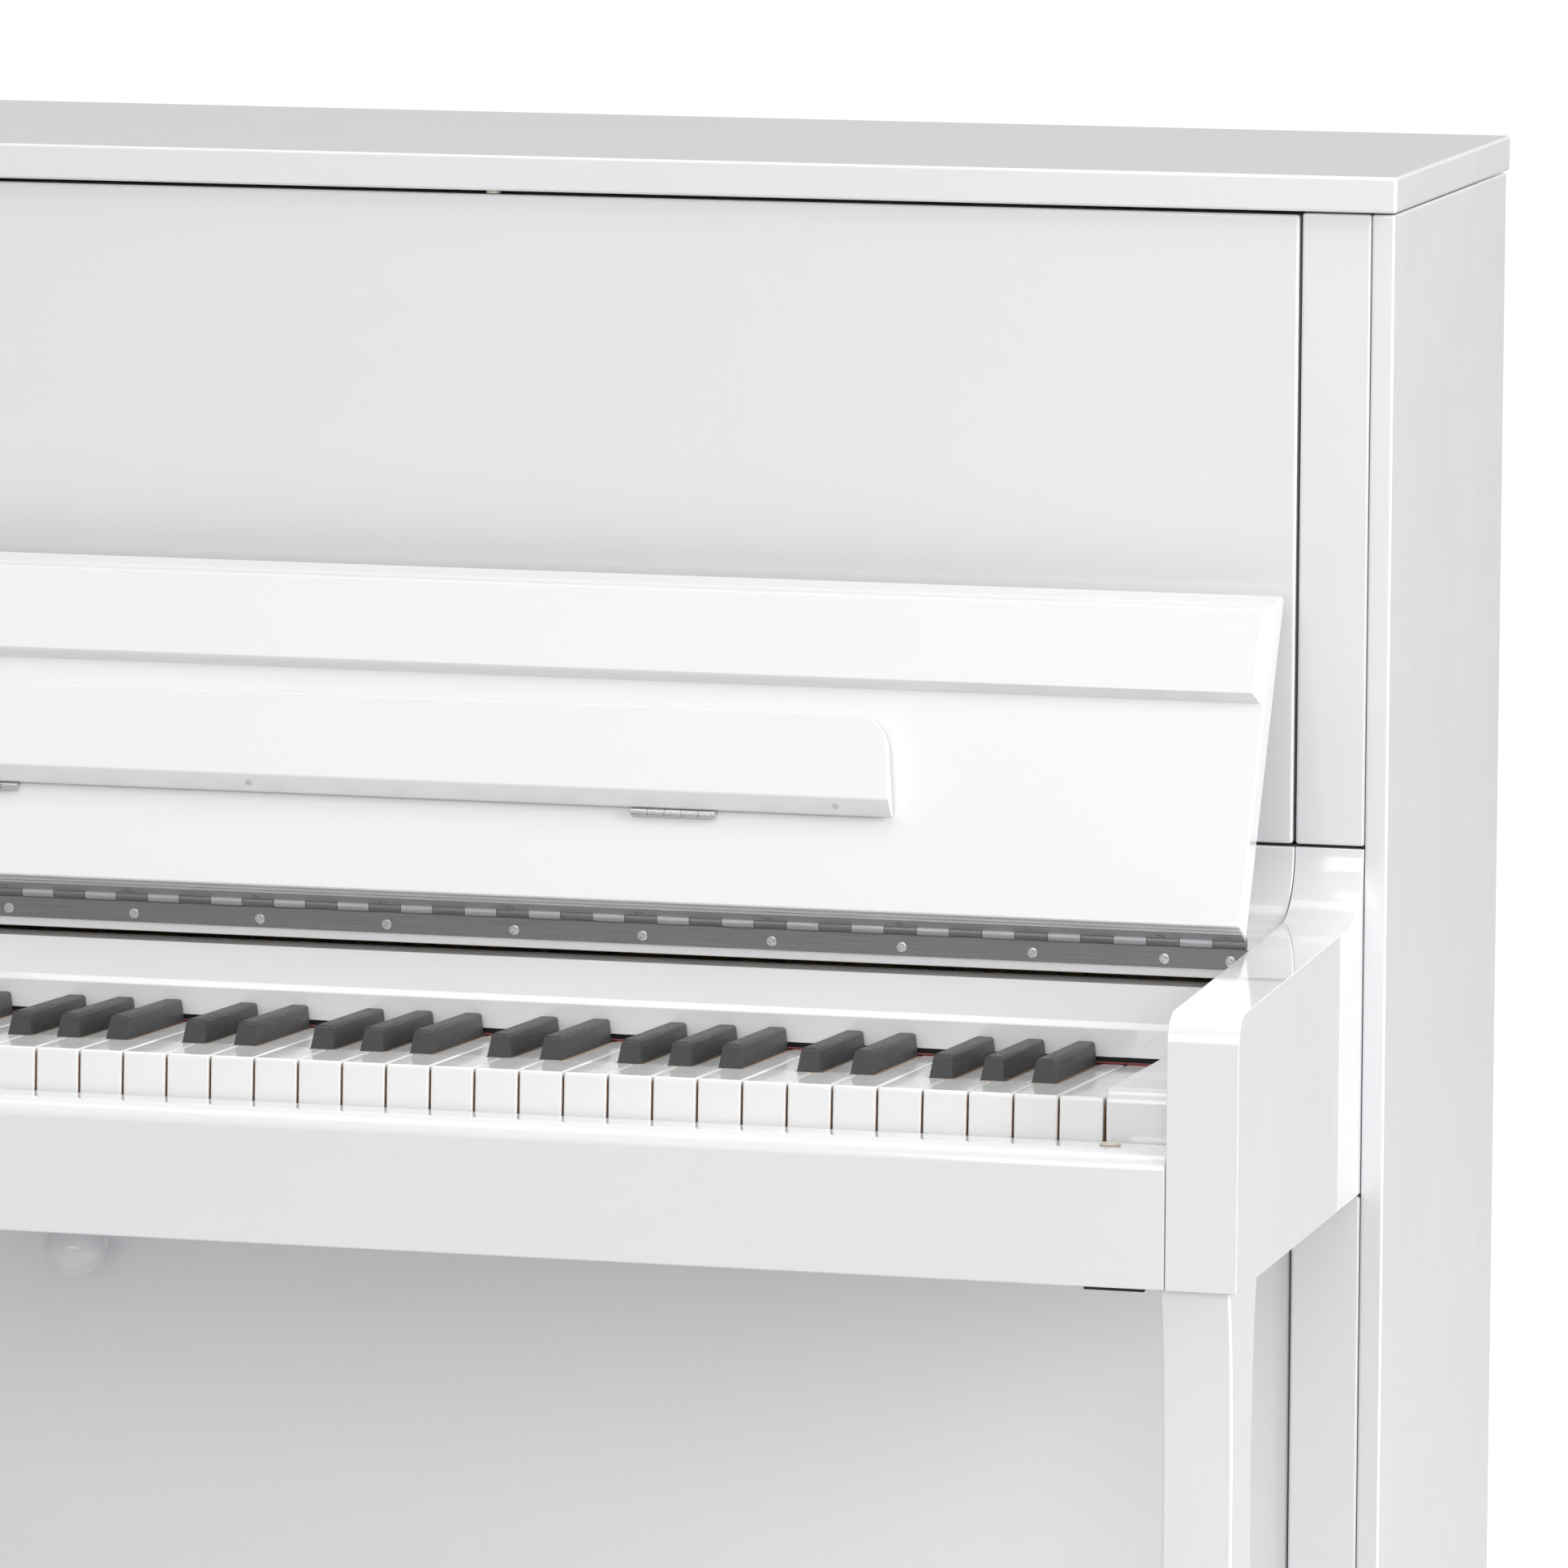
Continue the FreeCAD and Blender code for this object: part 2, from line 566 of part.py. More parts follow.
def make_back():
    """Posts and beams with the pin block, the ribbed soundboard, iron plate and strings."""
    half = n("case_width") / 2 - n("side_thick") - 0.4
    deep, post, wide = n("case_depth") - n("post_deep"), n("post_deep"), n("post_wide")
    low = float(plinth)
    high = float(case_top) - 0.4
    sill, beam = n("sill_high"), n("beam_high")
    frame = [block(-half, deep, low, 2 * half, post, sill),
             block(-half, deep, high - beam, 2 * half, post, beam)]
    for k in range(5):
        x = -half + k * (2 * half - wide) / 4
        frame.append(block(x, deep, low + sill, wide, post, high - beam - low - sill))
    plate_deep, plate_thick = n("plate_place"), n("plate_thick")
    block_deep = plate_deep + plate_thick + 0.2
    block_low = high - beam - 32
    frame.append(block(-half, block_deep, block_low, 2 * half, deep - block_deep, high - block_low))
    group("back_frame", frame)

    board_low, board_high = low + sill + 8, block_low - 4
    board_half = half - 6
    thick = n("soundboard_thick")
    wood = [block(-board_half, n("board_place"), board_low, 2 * board_half, thick,
                  board_high - board_low)]
    rib_deep, rib_wide = n("rib_deep"), n("rib_wide")
    field = block(-board_half + 25, n("board_place") + thick, board_low + 25,
                  2 * board_half - 50, rib_deep, board_high - board_low - 50)
    for k in range(-4, 5):
        rib = Part.makeBox(2600, rib_deep, rib_wide, V(-1300, 0, -rib_wide / 2))
        rib.rotate(V(0, 0, 0), Y_AXIS, -38)
        rib.translate(at(k * 210, n("board_place") + thick, (board_low + board_high) / 2))
        wood.append(rib.common(field))
    plate_low, plate_high = board_low + 4, high - 6
    border = n("plate_border")
    iron = block(-board_half, plate_deep, plate_low, 2 * board_half, plate_thick,
                 plate_high - plate_low)
    window_low, window_high = plate_low + border, block_low - 30
    struts = 4
    window = (2 * board_half - border * (struts + 1) * 0.72) / struts
    bridges = []
    for k in range(struts):
        x = -board_half + border * 0.72 + k * (window + border * 0.72)
        iron = iron.cut(block(x, plate_deep - 1, window_low, window, plate_thick + 2,
                              window_high - window_low))
        bridge_z = window_low + 60 + k * (window_high - window_low - 160) / struts
        bridges.append(block(x + 8, n("string_place") + 3, bridge_z, window - 16,
                             n("board_place") - n("string_place") - 3, 32))
    group("soundboard", wood + bridges)
    group("iron_plate", [iron])

    wires, pins = [], []
    count = 88
    pitch = (2 * board_half - 2 * border) / (count - 1)
    for k in range(count):
        share = k / (count - 1)
        x = -board_half + border + k * pitch
        pin_high = block_low + 48 + 16 * (k % 4)
        foot = plate_low + 30 + share * 260
        radius = 0.55 + 1.6 * (1 - share) ** 3
        wires.append(rod(x, n("string_place"), foot, radius, pin_high - 3.4 - foot, Z_AXIS))
        pin_deep = n("string_place") - 18
        pins.append(rod(x, pin_deep, pin_high, 3.4, plate_deep - pin_deep - 0.1, Y_AXIS))
        pins.append(rod(x, n("string_place") - 3, foot - 2, 2, 14.9, Y_AXIS))
    group("strings", wires)
    group("tuning_pins", pins)


def prism(points, x, wide):
    """A piece cut from board: an outline in depth and height, with a width along X."""
    corners = [at(x, a, b) for a, b in points]
    return Part.Face(Part.makePolygon(corners + [corners[0]])).extrude(V(float(wide), 0, 0))


def make_action():
    """Brackets and rails of the action, and one hammer with its wippen for each key."""
    foot, top = float(bed_top) + 0.3, 1000.0
    rest = n("bed_back") - 26
    brackets = []
    pitch = n("key_pitch") * 52 / 88
    start = float(keys_left) + pitch / 2
    for k in (0, 29, 58, 87):
        x = start + k * pitch + pitch / 2 - 2 if k < 87 else start + k * pitch + pitch / 2
        brackets.append(prism([(rest, foot), (rest, 762), (rest - 26, 800), (rest - 26, top),
                               (rest - 10, top), (rest + 22, 800), (rest + 24, foot)], x, 4))
    span = float(keys_right - keys_left) - 20
    left = float(keys_left) + 10
    rails = [block(left, rest + 1, 802, span, 20, 34), block(left, rest - 37, 905, span, 12, 22)]
    frame = brackets[0].fuse(brackets[1:] + rails)
    group("action_frame", frame.Solids)
    hammers = []
    for k in range(88):
        x = start + k * pitch - 3.6
        hammers.append(prism([(rest - 16, 752), (rest - 2, 752), (rest - 2, 836), (rest - 8, 842),
                              (rest - 8, 972), (rest + 34, 974), (rest + 42, 983), (rest + 34, 992),
                              (rest - 12, 994), (rest - 12, 842), (rest - 16, 836)], x, 7.2))
    group("hammers", hammers)


NOTES = "CDEFGAB"
SHARP_SHIFT = {"C": -2.3, "D": 2.3, "F": -3.3, "G": 0.0, "A": 3.3}
MOVING = ("c5", "c_sharp5", "d5", "d_sharp5", "e5")


def tilt_key(shape):
    """Moves a key from its own frame, front edge at the origin, to its resting place."""
    shape.rotate(V(0, 0, 0), X_AXIS, -n("key_tilt"))
    shape.translate(at(0, d("key_front"), d("key_top")))
    return shape


def white_key(left, right, tail_left, tail_right):
    head, length = n("head_length"), n("key_length")
    corners = [(left, 0), (right, 0), (right, head), (tail_right, head), (tail_right, length),
               (tail_left, length), (tail_left, head), (left, head)]
    points = []
    for corner in corners:
        if not points or corner != points[-1]:
            points.append(corner)
    wire = Part.makePolygon([V(a, b, 0) for a, b in points + [points[0]]])
    return tilt_key(Part.Face(wire).extrude(V(0, 0, -n("key_height"))))


def black_key(middle):
    wide, front, high = n("sharp_width"), n("head_length") + 1.2, n("sharp_height")
    back, length, low = front + n("sharp_length") - 1.2, n("key_length"), -n("key_height")
    points = [(front, low), (front, 0), (front + 3.5, high), (back, high), (back, 0),
              (length, 0), (length, low)]
    wire = Part.makePolygon([V(middle - wide / 2, a, b) for a, b in points + [points[0]]])
    return tilt_key(Part.Face(wire).extrude(V(wide, 0, 0)))


def make_keys():
    """Fifty-two white and thirty-six black keys; five of them are nodes that can be played."""
    pitch, gap = n("key_pitch"), n("key_gap")
    reach = n("sharp_width") / 2 + n("sharp_gap")
    whites, blacks = [], []
    for i in range(52):
        note, octave = NOTES[(i + 5) % 7], (i + 5) // 7
        low = float(keys_left) + i * pitch
        before = NOTES[(i + 4) % 7] if i else ""
        left, right = low + gap / 2, low + pitch - gap / 2
        tail_left, tail_right = left, right
        if before in SHARP_SHIFT:
            tail_left = low + SHARP_SHIFT[before] + reach
        if note in SHARP_SHIFT and i < 51:
            tail_right = low + pitch + SHARP_SHIFT[note] - reach
        whites.append((note.lower() + str(octave), white_key(left, right, tail_left, tail_right)))
        if note in SHARP_SHIFT and i < 51:
            name = "%s_sharp%d" % (note.lower(), octave)
            blacks.append((name, black_key(low + pitch + SHARP_SHIFT[note])))
    for name, shape in whites + blacks:
        if name in MOVING:
            group("key_" + name, [shape])
    group("white_keys", [shape for name, shape in whites if name not in MOVING])
    group("black_keys", [shape for name, shape in blacks if name not in MOVING])
    left, wide = float(keys_left) + 1, float(keys_right - keys_left) - 2
    rails = []
    for behind, long, spare in ((5, 40, 13.2), (n("key_pivot") - 14, 28, 0.6), (350, 28, 0.7)):
        top = n("key_top") - n("key_height") - key_drop(behind + long) - spare
        low = float(bed_top) + 0.2
        rails.append(block(left, n("key_front") + behind, low, wide, long, top - low))
    group("key_frame", rails)


def make_pedals():
    """Three pedals through the bottom rail, and the rod that lifts the dampers."""
    tip, pivot, back = n("pedal_tip"), n("pedal_pivot"), n("pedal_back")
    high = n("pedal_height")
    for column, name in ((-1, "left"), (0, "middle"), (1, "right")):
        middle = column * n("pedal_spread")
        wide = n("pedal_wide") / 2
        outline = [(-wide * 0.62, tip + 9), (-wide * 0.2, tip), (wide * 0.2, tip),
                   (wide * 0.62, tip + 9), (wide, tip + 34), (wide * 0.9, tip + 72),
                   (wide * 0.5, tip + 104), (wide * 0.5, back), (-wide * 0.5, back),
                   (-wide * 0.5, tip + 104), (-wide * 0.9, tip + 72), (-wide, tip + 34)]
        corners = [at(middle + a, b, high - 9) for a, b in outline]
        face = Part.Face(Part.makePolygon(corners + [corners[0]]))
        arm = face.extrude(V(0, 0, 9))
        boss = rod(middle - wide * 0.5, pivot, high - 4.5, 9, wide, X_AXIS)
        bore = rod(middle - wide, pivot, high - 4.5, 4.05, wide * 2, X_AXIS)
        group("pedal_" + name, [arm.fuse(boss).cut(bore).removeSplitter()])
    stands = []
    low = float(plinth) + n("board_thick")
    for column in (-1, 0, 1):
        middle = column * n("pedal_spread")
        axle = rod(middle - 16, pivot, high - 4.5, 4, 32, X_AXIS)
        ears = [block(middle + side * 12.5 - 2.5, pivot - 12, low, 5, 24, high - low + 6)
                for side in (-1, 1)]
        stands.append(axle.fuse(ears))
    radius = n("rod_radius")
    x, deep = n("pedal_spread"), back - 14
    foot = high + radius + 0.6
    guide = block(x - 16, n("bed_back") - 44, n("arm_bottom") - 10.3, 32, 64, 10)
    stands.append(guide.cut(rod(x, deep, 600, radius + 0.08, 100, Z_AXIS)))
    group("pedal_brackets", stands)
    lift = rod(x, deep, foot, radius, 620, Z_AXIS).fuse(
        Part.makeSphere(radius, at(x, deep, foot)))
    group("damper_rod", [lift])


def make_casters():
    """Four casters: fork and axle in one group, each wheel on its own."""
    radius, wide = n("wheel_radius"), n("wheel_wide")
    axle = n("axle_radius")
    forks = []
    side_x = float(arm_inner) + n("arm_thick") / 2 - n("leg_inset")
    back_x = side_x - 60
    top = float(plinth)
    places = (("front_left", -side_x, n("caster_front")), ("front_right", side_x, n("caster_front")),
              ("back_left", -back_x, n("caster_back")), ("back_right", back_x, n("caster_back")))
    for name, x, deep in places:
        half = wide / 2
        plate = block(x - half - 3.5, deep - 16, top - 3.1, wide + 7, 32, 3)
        ears = [block(x + side * (half + 2.25) - 1.25, deep - 8, radius - 8, 2.5, 16, top - radius + 6)
                for side in (-1, 1)]
        pin = rod(x - half - 3.4, deep, radius, axle, wide + 6.8, X_AXIS)
        forks.append(plate.fuse(ears + [pin]).removeSplitter())
        tyre = rod(x - half, deep, radius, radius, wide, X_AXIS)
        hole = rod(x - half - 1, deep, radius, axle + 0.06, wide + 2, X_AXIS)
        group("wheel_" + name, [tyre.cut(hole)])
    group("caster_forks", forks)


make_sides()
make_columns()
make_arms()
make_legs_and_toes()
make_lid()
make_panels()
make_key_bed()
make_name_board()
make_fallboard()
make_long_hinge()
make_music_desk()
make_back()
make_action()
make_keys()
make_pedals()
make_casters()
doc.recompute()

for thing in doc.Objects:
    if "Invalid" in thing.State or "Error" in thing.State:
        raise RuntimeError("%s failed: %s" % (thing.Name, thing.State))
for label, thing in parts.items():
    if thing.Shape.isNull() or not thing.Shape.isValid():
        raise RuntimeError("%s has no valid shape" % label)

os.makedirs("parts", exist_ok=True)
for label, thing in parts.items():
    thing.Shape.exportStep(os.path.join("parts", label + ".step"))
print(len(parts), "parts written")
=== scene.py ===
import math
import bmesh
import bpy
from mathutils import Matrix, Vector


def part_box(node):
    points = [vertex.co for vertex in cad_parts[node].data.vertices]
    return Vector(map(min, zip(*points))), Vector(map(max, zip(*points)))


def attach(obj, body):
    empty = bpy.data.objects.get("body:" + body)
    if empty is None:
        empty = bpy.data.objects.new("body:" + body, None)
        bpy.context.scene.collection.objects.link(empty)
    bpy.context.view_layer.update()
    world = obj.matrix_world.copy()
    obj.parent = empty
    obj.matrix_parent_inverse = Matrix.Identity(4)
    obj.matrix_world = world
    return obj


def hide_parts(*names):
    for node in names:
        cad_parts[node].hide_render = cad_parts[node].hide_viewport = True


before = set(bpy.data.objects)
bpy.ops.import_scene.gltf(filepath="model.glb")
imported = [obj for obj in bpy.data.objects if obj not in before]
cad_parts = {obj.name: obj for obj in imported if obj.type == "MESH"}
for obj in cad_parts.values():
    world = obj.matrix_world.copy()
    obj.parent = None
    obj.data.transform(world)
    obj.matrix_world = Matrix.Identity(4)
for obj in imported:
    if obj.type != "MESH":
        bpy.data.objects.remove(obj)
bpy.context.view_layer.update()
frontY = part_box("key_slip")[0].y  # the key slip's face, where depths start
mm = 0.001


def py(deep):
    return frontY + deep * mm


def pt(x, deep, z):
    return Vector((x * mm, py(deep), z * mm))


print("frame loaded")


def addNode(tree, kind, place, **sockets):
    node = tree.nodes.new(kind)
    node.location = place
    for name, value in sockets.items():
        node.inputs[name.replace("_", " ")].default_value = value
    return node


def newGroup(name, inputs, outputs):
    group = bpy.data.node_groups.new(name, "ShaderNodeTree")
    for label, kind, value in inputs:
        socket = group.interface.new_socket(label, in_out="INPUT", socket_type=kind)
        if value is not None:
            socket.default_value = value
    for label, kind in outputs:
        group.interface.new_socket(label, in_out="OUTPUT", socket_type=kind)
    start = group.nodes.new("NodeGroupInput")
    start.location = (-700, 0)
    end = group.nodes.new("NodeGroupOutput")
    end.location = (700, 0)
    return group, start, end


def cloudGroup():
    # soft variation between two values, with its raw height
    group, start, end = newGroup(
        "surfaceCloud",
        [("Scale", "NodeSocketFloat", 40.0), ("Detail", "NodeSocketFloat", 3.0),
         ("Low", "NodeSocketFloat", 0.1), ("High", "NodeSocketFloat", 0.2)],
        [("Value", "NodeSocketFloat"), ("Height", "NodeSocketFloat")])
    coords = addNode(group, "ShaderNodeTexCoord", (-700, 250))
    noise = addNode(group, "ShaderNodeTexNoise", (-350, 100), Roughness=0.55)
    spread = addNode(group, "ShaderNodeMapRange", (100, 100), From_Min=0.3, From_Max=0.7)
    links = group.links
    links.new(coords.outputs["Object"], noise.inputs["Vector"])
    links.new(start.outputs["Scale"], noise.inputs["Scale"])
    links.new(start.outputs["Detail"], noise.inputs["Detail"])
    links.new(noise.outputs["Fac"], spread.inputs["Value"])
    links.new(start.outputs["Low"], spread.inputs["To Min"])
    links.new(start.outputs["High"], spread.inputs["To Max"])
    links.new(spread.outputs["Result"], end.inputs["Value"])
    links.new(noise.outputs["Fac"], end.inputs["Height"])
    return group


def grainGroup():
    # long streaks of wood or brushing, stretched by the mapping's scale
    group, start, end = newGroup(
        "longGrain",
        [("Stretch", "NodeSocketVector", (1.0, 1.0, 1.0)), ("Turn", "NodeSocketVector", (0.0, 0.0, 0.0)),
         ("Scale", "NodeSocketFloat", 1.0), ("Distortion", "NodeSocketFloat", 0.6),
         ("Light", "NodeSocketColor", (0.8, 0.6, 0.4, 1.0)),
         ("Dark", "NodeSocketColor", (0.5, 0.35, 0.2, 1.0))],
        [("Colour", "NodeSocketColor"), ("Height", "NodeSocketFloat")])
    coords = addNode(group, "ShaderNodeTexCoord", (-700, 300))
    mapping = addNode(group, "ShaderNodeMapping", (-500, 200))
    noise = addNode(group, "ShaderNodeTexNoise", (-250, 250), Detail=6.0, Roughness=0.6)
    fine = addNode(group, "ShaderNodeTexNoise", (-250, 0), Detail=3.0, Roughness=0.7)
    finer = addNode(group, "ShaderNodeMath", (-450, 0))
    finer.operation = "MULTIPLY"
    finer.inputs[1].default_value = 5.0
    blend = addNode(group, "ShaderNodeMath", (0, 120))
    blend.operation = "MULTIPLY_ADD"
    blend.inputs[1].default_value = 0.35
    spread = addNode(group, "ShaderNodeMapRange", (180, 120), From_Min=0.42, From_Max=0.9)
    mix = addNode(group, "ShaderNodeMix", (420, 150))
    mix.data_type = "RGBA"
    links = group.links
    links.new(coords.outputs["Object"], mapping.inputs["Vector"])
    links.new(start.outputs["Stretch"], mapping.inputs["Scale"])
    links.new(start.outputs["Turn"], mapping.inputs["Rotation"])
    for noiseNode in (noise, fine):
        links.new(mapping.outputs["Vector"], noiseNode.inputs["Vector"])
        links.new(start.outputs["Distortion"], noiseNode.inputs["Distortion"])
    links.new(start.outputs["Scale"], noise.inputs["Scale"])
    links.new(start.outputs["Scale"], finer.inputs[0])
    links.new(finer.outputs[0], fine.inputs["Scale"])
    links.new(fine.outputs["Fac"], blend.inputs[0])
    links.new(noise.outputs["Fac"], blend.inputs[2])
    links.new(blend.outputs[0], spread.inputs["Value"])
    links.new(spread.outputs["Result"], mix.inputs[0])
    links.new(start.outputs["Light"], mix.inputs[6])
    links.new(start.outputs["Dark"], mix.inputs[7])
    links.new(mix.outputs[2], end.inputs["Colour"])
    links.new(spread.outputs["Result"], end.inputs["Height"])
    return group


surfaceCloud = cloudGroup()
longGrain = grainGroup()


def newMaterial(name, **sockets):
    material = bpy.data.materials.new(name)
    material.use_nodes = True
    shader = material.node_tree.nodes["Principled BSDF"]
    for label, value in sockets.items():
        shader.inputs[label.replace("_", " ")].default_value = value
    return material, material.node_tree, shader


def addCloud(tree, place, **sockets):
    node = tree.nodes.new("ShaderNodeGroup")
    node.node_tree = surfaceCloud
    node.location = place
    for label, value in sockets.items():
        node.inputs[label].default_value = value
    return node


def addBump(tree, shader, height, strength, distance, place=(-250, -400)):
    bump = addNode(tree, "ShaderNodeBump", place, Strength=strength, Distance=distance)
    tree.links.new(height, bump.inputs["Height"])
    tree.links.new(bump.outputs["Normal"], shader.inputs["Normal"])
    return bump


def tintBetween(tree, shader, factor, first, second, place=(-250, 250)):
    mix = addNode(tree, "ShaderNodeMix", place)
    mix.data_type = "RGBA"
    mix.inputs[6].default_value = (*first, 1)
    mix.inputs[7].default_value = (*second, 1)
    tree.links.new(factor, mix.inputs[0])
    tree.links.new(mix.outputs[2], shader.inputs["Base Color"])
    return mix


def cloudyMaterial(name, first, second, cloudScale, rough, bumpScale, bumpStrength, bumpDistance, **sockets):
    # two close colours drifting into each other, uneven gloss and a fine bump
    material, tree, shader = newMaterial(name, **sockets)
    drift = addCloud(tree, (-500, 300), Scale=cloudScale, Detail=2.0, Low=0.0, High=1.0)
    tintBetween(tree, shader, drift.outputs["Value"], first, second)
    gloss = addCloud(tree, (-500, 0), Scale=cloudScale * 3.7, Detail=3.0, Low=rough[0], High=rough[1])
    tree.links.new(gloss.outputs["Value"], shader.inputs["Roughness"])
    texture = addCloud(tree, (-500, -300), Scale=bumpScale, Detail=2.0, Low=0.0, High=1.0)
    addBump(tree, shader, texture.outputs["Height"], bumpStrength, bumpDistance)
    return material


def grainMaterial(name, light, dark, stretch, scale, rough, bumpDistance, turn=(0, 0, 0), distortion=0.6,
                  **sockets):
    material, tree, shader = newMaterial(name, **sockets)
    grain = tree.nodes.new("ShaderNodeGroup")
    grain.node_tree = longGrain
    grain.location = (-500, 200)
    grain.inputs["Stretch"].default_value = stretch
    grain.inputs["Turn"].default_value = turn
    grain.inputs["Scale"].default_value = scale
    grain.inputs["Distortion"].default_value = distortion
    grain.inputs["Light"].default_value = (*light, 1)
    grain.inputs["Dark"].default_value = (*dark, 1)
    tree.links.new(grain.outputs["Colour"], shader.inputs["Base Color"])
    gloss = addNode(tree, "ShaderNodeMapRange", (-250, 0), To_Min=rough[0], To_Max=rough[1])
    tree.links.new(grain.outputs["Height"], gloss.inputs["Value"])
    tree.links.new(gloss.outputs["Result"], shader.inputs["Roughness"])
    addBump(tree, shader, grain.outputs["Height"], 0.5, bumpDistance)
    return material


lacquer = cloudyMaterial("whiteLacquer", (0.80, 0.80, 0.815), (0.785, 0.785, 0.80), 3.0,
                         (0.16, 0.24), 420.0, 0.06, 0.0002, Coat_Weight=1.0, Coat_Roughness=0.03)
warmLacquer = cloudyMaterial("warmLacquer", (0.79, 0.78, 0.765), (0.775, 0.765, 0.75), 4.0,
                             (0.18, 0.26), 420.0, 0.06, 0.0002, Coat_Weight=1.0, Coat_Roughness=0.04)
keyPlastic = cloudyMaterial("keyPlastic", (0.86, 0.86, 0.855), (0.845, 0.845, 0.84), 14.0,
                            (0.14, 0.2), 900.0, 0.05, 0.0001, Coat_Weight=0.4, Coat_Roughness=0.05)
keyEbony = grainMaterial("keyEbony", (0.05, 0.051, 0.053), (0.026, 0.026, 0.028), (60, 3, 60), 22.0,
                         (0.36, 0.5), 0.00012)
keyWood = grainMaterial("keyWood", (0.62, 0.46, 0.33), (0.48, 0.33, 0.22), (40, 2, 40), 6.0,
                        (0.5, 0.7), 0.0002)
spruceUp = grainMaterial("spruceUp", (0.70, 0.52, 0.32), (0.54, 0.36, 0.19), (26, 26, 0.9), 3.0,
                         (0.38, 0.55), 0.0003)
spruceAcross = grainMaterial("spruceAcross", (0.68, 0.50, 0.30), (0.52, 0.34, 0.18), (0.9, 26, 26), 3.0,
                             (0.38, 0.55), 0.0003)
boardSpruce = grainMaterial("boardSpruce", (0.76, 0.58, 0.36), (0.64, 0.44, 0.25), (60, 60, 1.2), 4.0,
                            (0.25, 0.4), 0.0002, turn=(0, math.radians(52), 0), Coat_Weight=0.3)
hiddenWood = grainMaterial("hiddenWood", (0.60, 0.45, 0.29), (0.46, 0.32, 0.19), (2, 40, 40), 3.0,
                           (0.5, 0.7), 0.0003)
satinAluminium = grainMaterial("satinAluminium", (0.58, 0.58, 0.60), (0.48, 0.48, 0.50), (2, 90, 90), 16.0,
                               (0.4, 0.55), 0.00006, distortion=0.1, Metallic=0.6)
# the lower hinge leaf: the same aluminium as the upper leaf, its colour darkened as painted shade
shadedLeafAluminium = grainMaterial("shadedLeafAluminium", (0.27, 0.27, 0.28), (0.21, 0.21, 0.218), (2, 90, 90), 16.0,
                              (0.4, 0.55), 0.00006, distortion=0.1, Metallic=0.7)
nickel = cloudyMaterial("nickelPlate", (0.72, 0.71, 0.69), (0.62, 0.61, 0.6), 60.0,
                        (0.16, 0.3), 600.0, 0.08, 0.0001, Metallic=1.0)
chrome = cloudyMaterial("polishedChrome", (0.80, 0.81, 0.83), (0.72, 0.73, 0.75), 30.0,
                        (0.06, 0.18), 500.0, 0.06, 0.0001, Metallic=1.0)
ironPaint = cloudyMaterial("bronzedIron", (0.55, 0.41, 0.19), (0.46, 0.33, 0.14), 12.0,
                           (0.32, 0.5), 260.0, 0.3, 0.0005, Metallic=0.55)
stringSteel = grainMaterial("stringSteel", (0.66, 0.64, 0.6), (0.5, 0.47, 0.43), (90, 90, 1), 30.0,
                            (0.2, 0.36), 0.00005, Metallic=1.0)
castSteel = cloudyMaterial("zincSteel", (0.50, 0.50, 0.50), (0.38, 0.38, 0.39), 40.0,
                           (0.35, 0.55), 300.0, 0.2, 0.0003, Metallic=1.0)
wheelPlastic = cloudyMaterial("wheelPlastic", (0.05, 0.05, 0.05), (0.03, 0.03, 0.03), 50.0,
                              (0.4, 0.6), 700.0, 0.15, 0.0002)
redFelt = cloudyMaterial("redFelt", (0.42, 0.03, 0.03), (0.28, 0.015, 0.02), 260.0,
                         (0.9, 1.0), 1400.0, 0.8, 0.0006, Sheen_Weight=0.5)
# dark felt for the slip pad, and the same colour as painted shade in the slot under the name board
darkFeltAndSlotShade = cloudyMaterial("darkFeltAndSlotShade", (0.02, 0.02, 0.022), (0.012, 0.012, 0.014), 260.0,
                          (0.9, 1.0), 1400.0, 0.6, 0.0005)
dotPlastic = cloudyMaterial("dotPlastic", (0.60, 0.59, 0.58), (0.54, 0.53, 0.52), 60.0,
                            (0.3, 0.42), 700.0, 0.08, 0.0002)
creamPlastic = cloudyMaterial("creamPlastic", (0.72, 0.66, 0.55), (0.66, 0.60, 0.5), 60.0,
                              (0.3, 0.42), 700.0, 0.08, 0.0002)
hammerWood = cloudyMaterial("hammerWood", (0.66, 0.52, 0.36), (0.55, 0.41, 0.27), 90.0,
                            (0.6, 0.8), 700.0, 0.4, 0.0004)
print("materials made")


def keepPiece(bm, name, body, materials, nodes=(), flat=True):
    # writes the bmesh into one object, riding on its body
    bmesh.ops.recalc_face_normals(bm, faces=bm.faces)
    for face in bm.faces:
        face.smooth = True
    for edge in bm.edges:  # corners that have no round stay crisp
        edge.smooth = len(edge.link_faces) == 2 and edge.calc_face_angle(0) < math.radians(50)
    mesh = bpy.data.meshes.new(name)
    bm.to_mesh(mesh)
    bm.free()
    piece = bpy.data.objects.new(name, mesh)
    bpy.context.scene.collection.objects.link(piece)
    for material in materials if isinstance(materials, (list, tuple)) else [materials]:
        mesh.materials.append(material)
    if flat:
        weighted = piece.modifiers.new("flatFaces", "WEIGHTED_NORMAL")
        weighted.weight = 80
        weighted.keep_sharp = True
    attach(piece, body)
    if nodes:
        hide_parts(*nodes)
    return piece


def joinInto(target, part):
    mesh = bpy.data.meshes.new("join")
    part.to_mesh(mesh)
    part.free()
    target.from_mesh(mesh)
    bpy.data.meshes.remove(mesh)


def prism(points, along):
    # a flat outline pulled along a vector
    bm = bmesh.new()
    face = bm.faces.new([bm.verts.new(p) for p in points])
    pulled = bmesh.ops.extrude_face_region(bm, geom=[face])
    moved = [v for v in pulled["geom"] if isinstance(v, bmesh.types.BMVert)]
    bmesh.ops.translate(bm, verts=moved, vec=along)
    bmesh.ops.recalc_face_normals(bm, faces=bm.faces)
    return bm


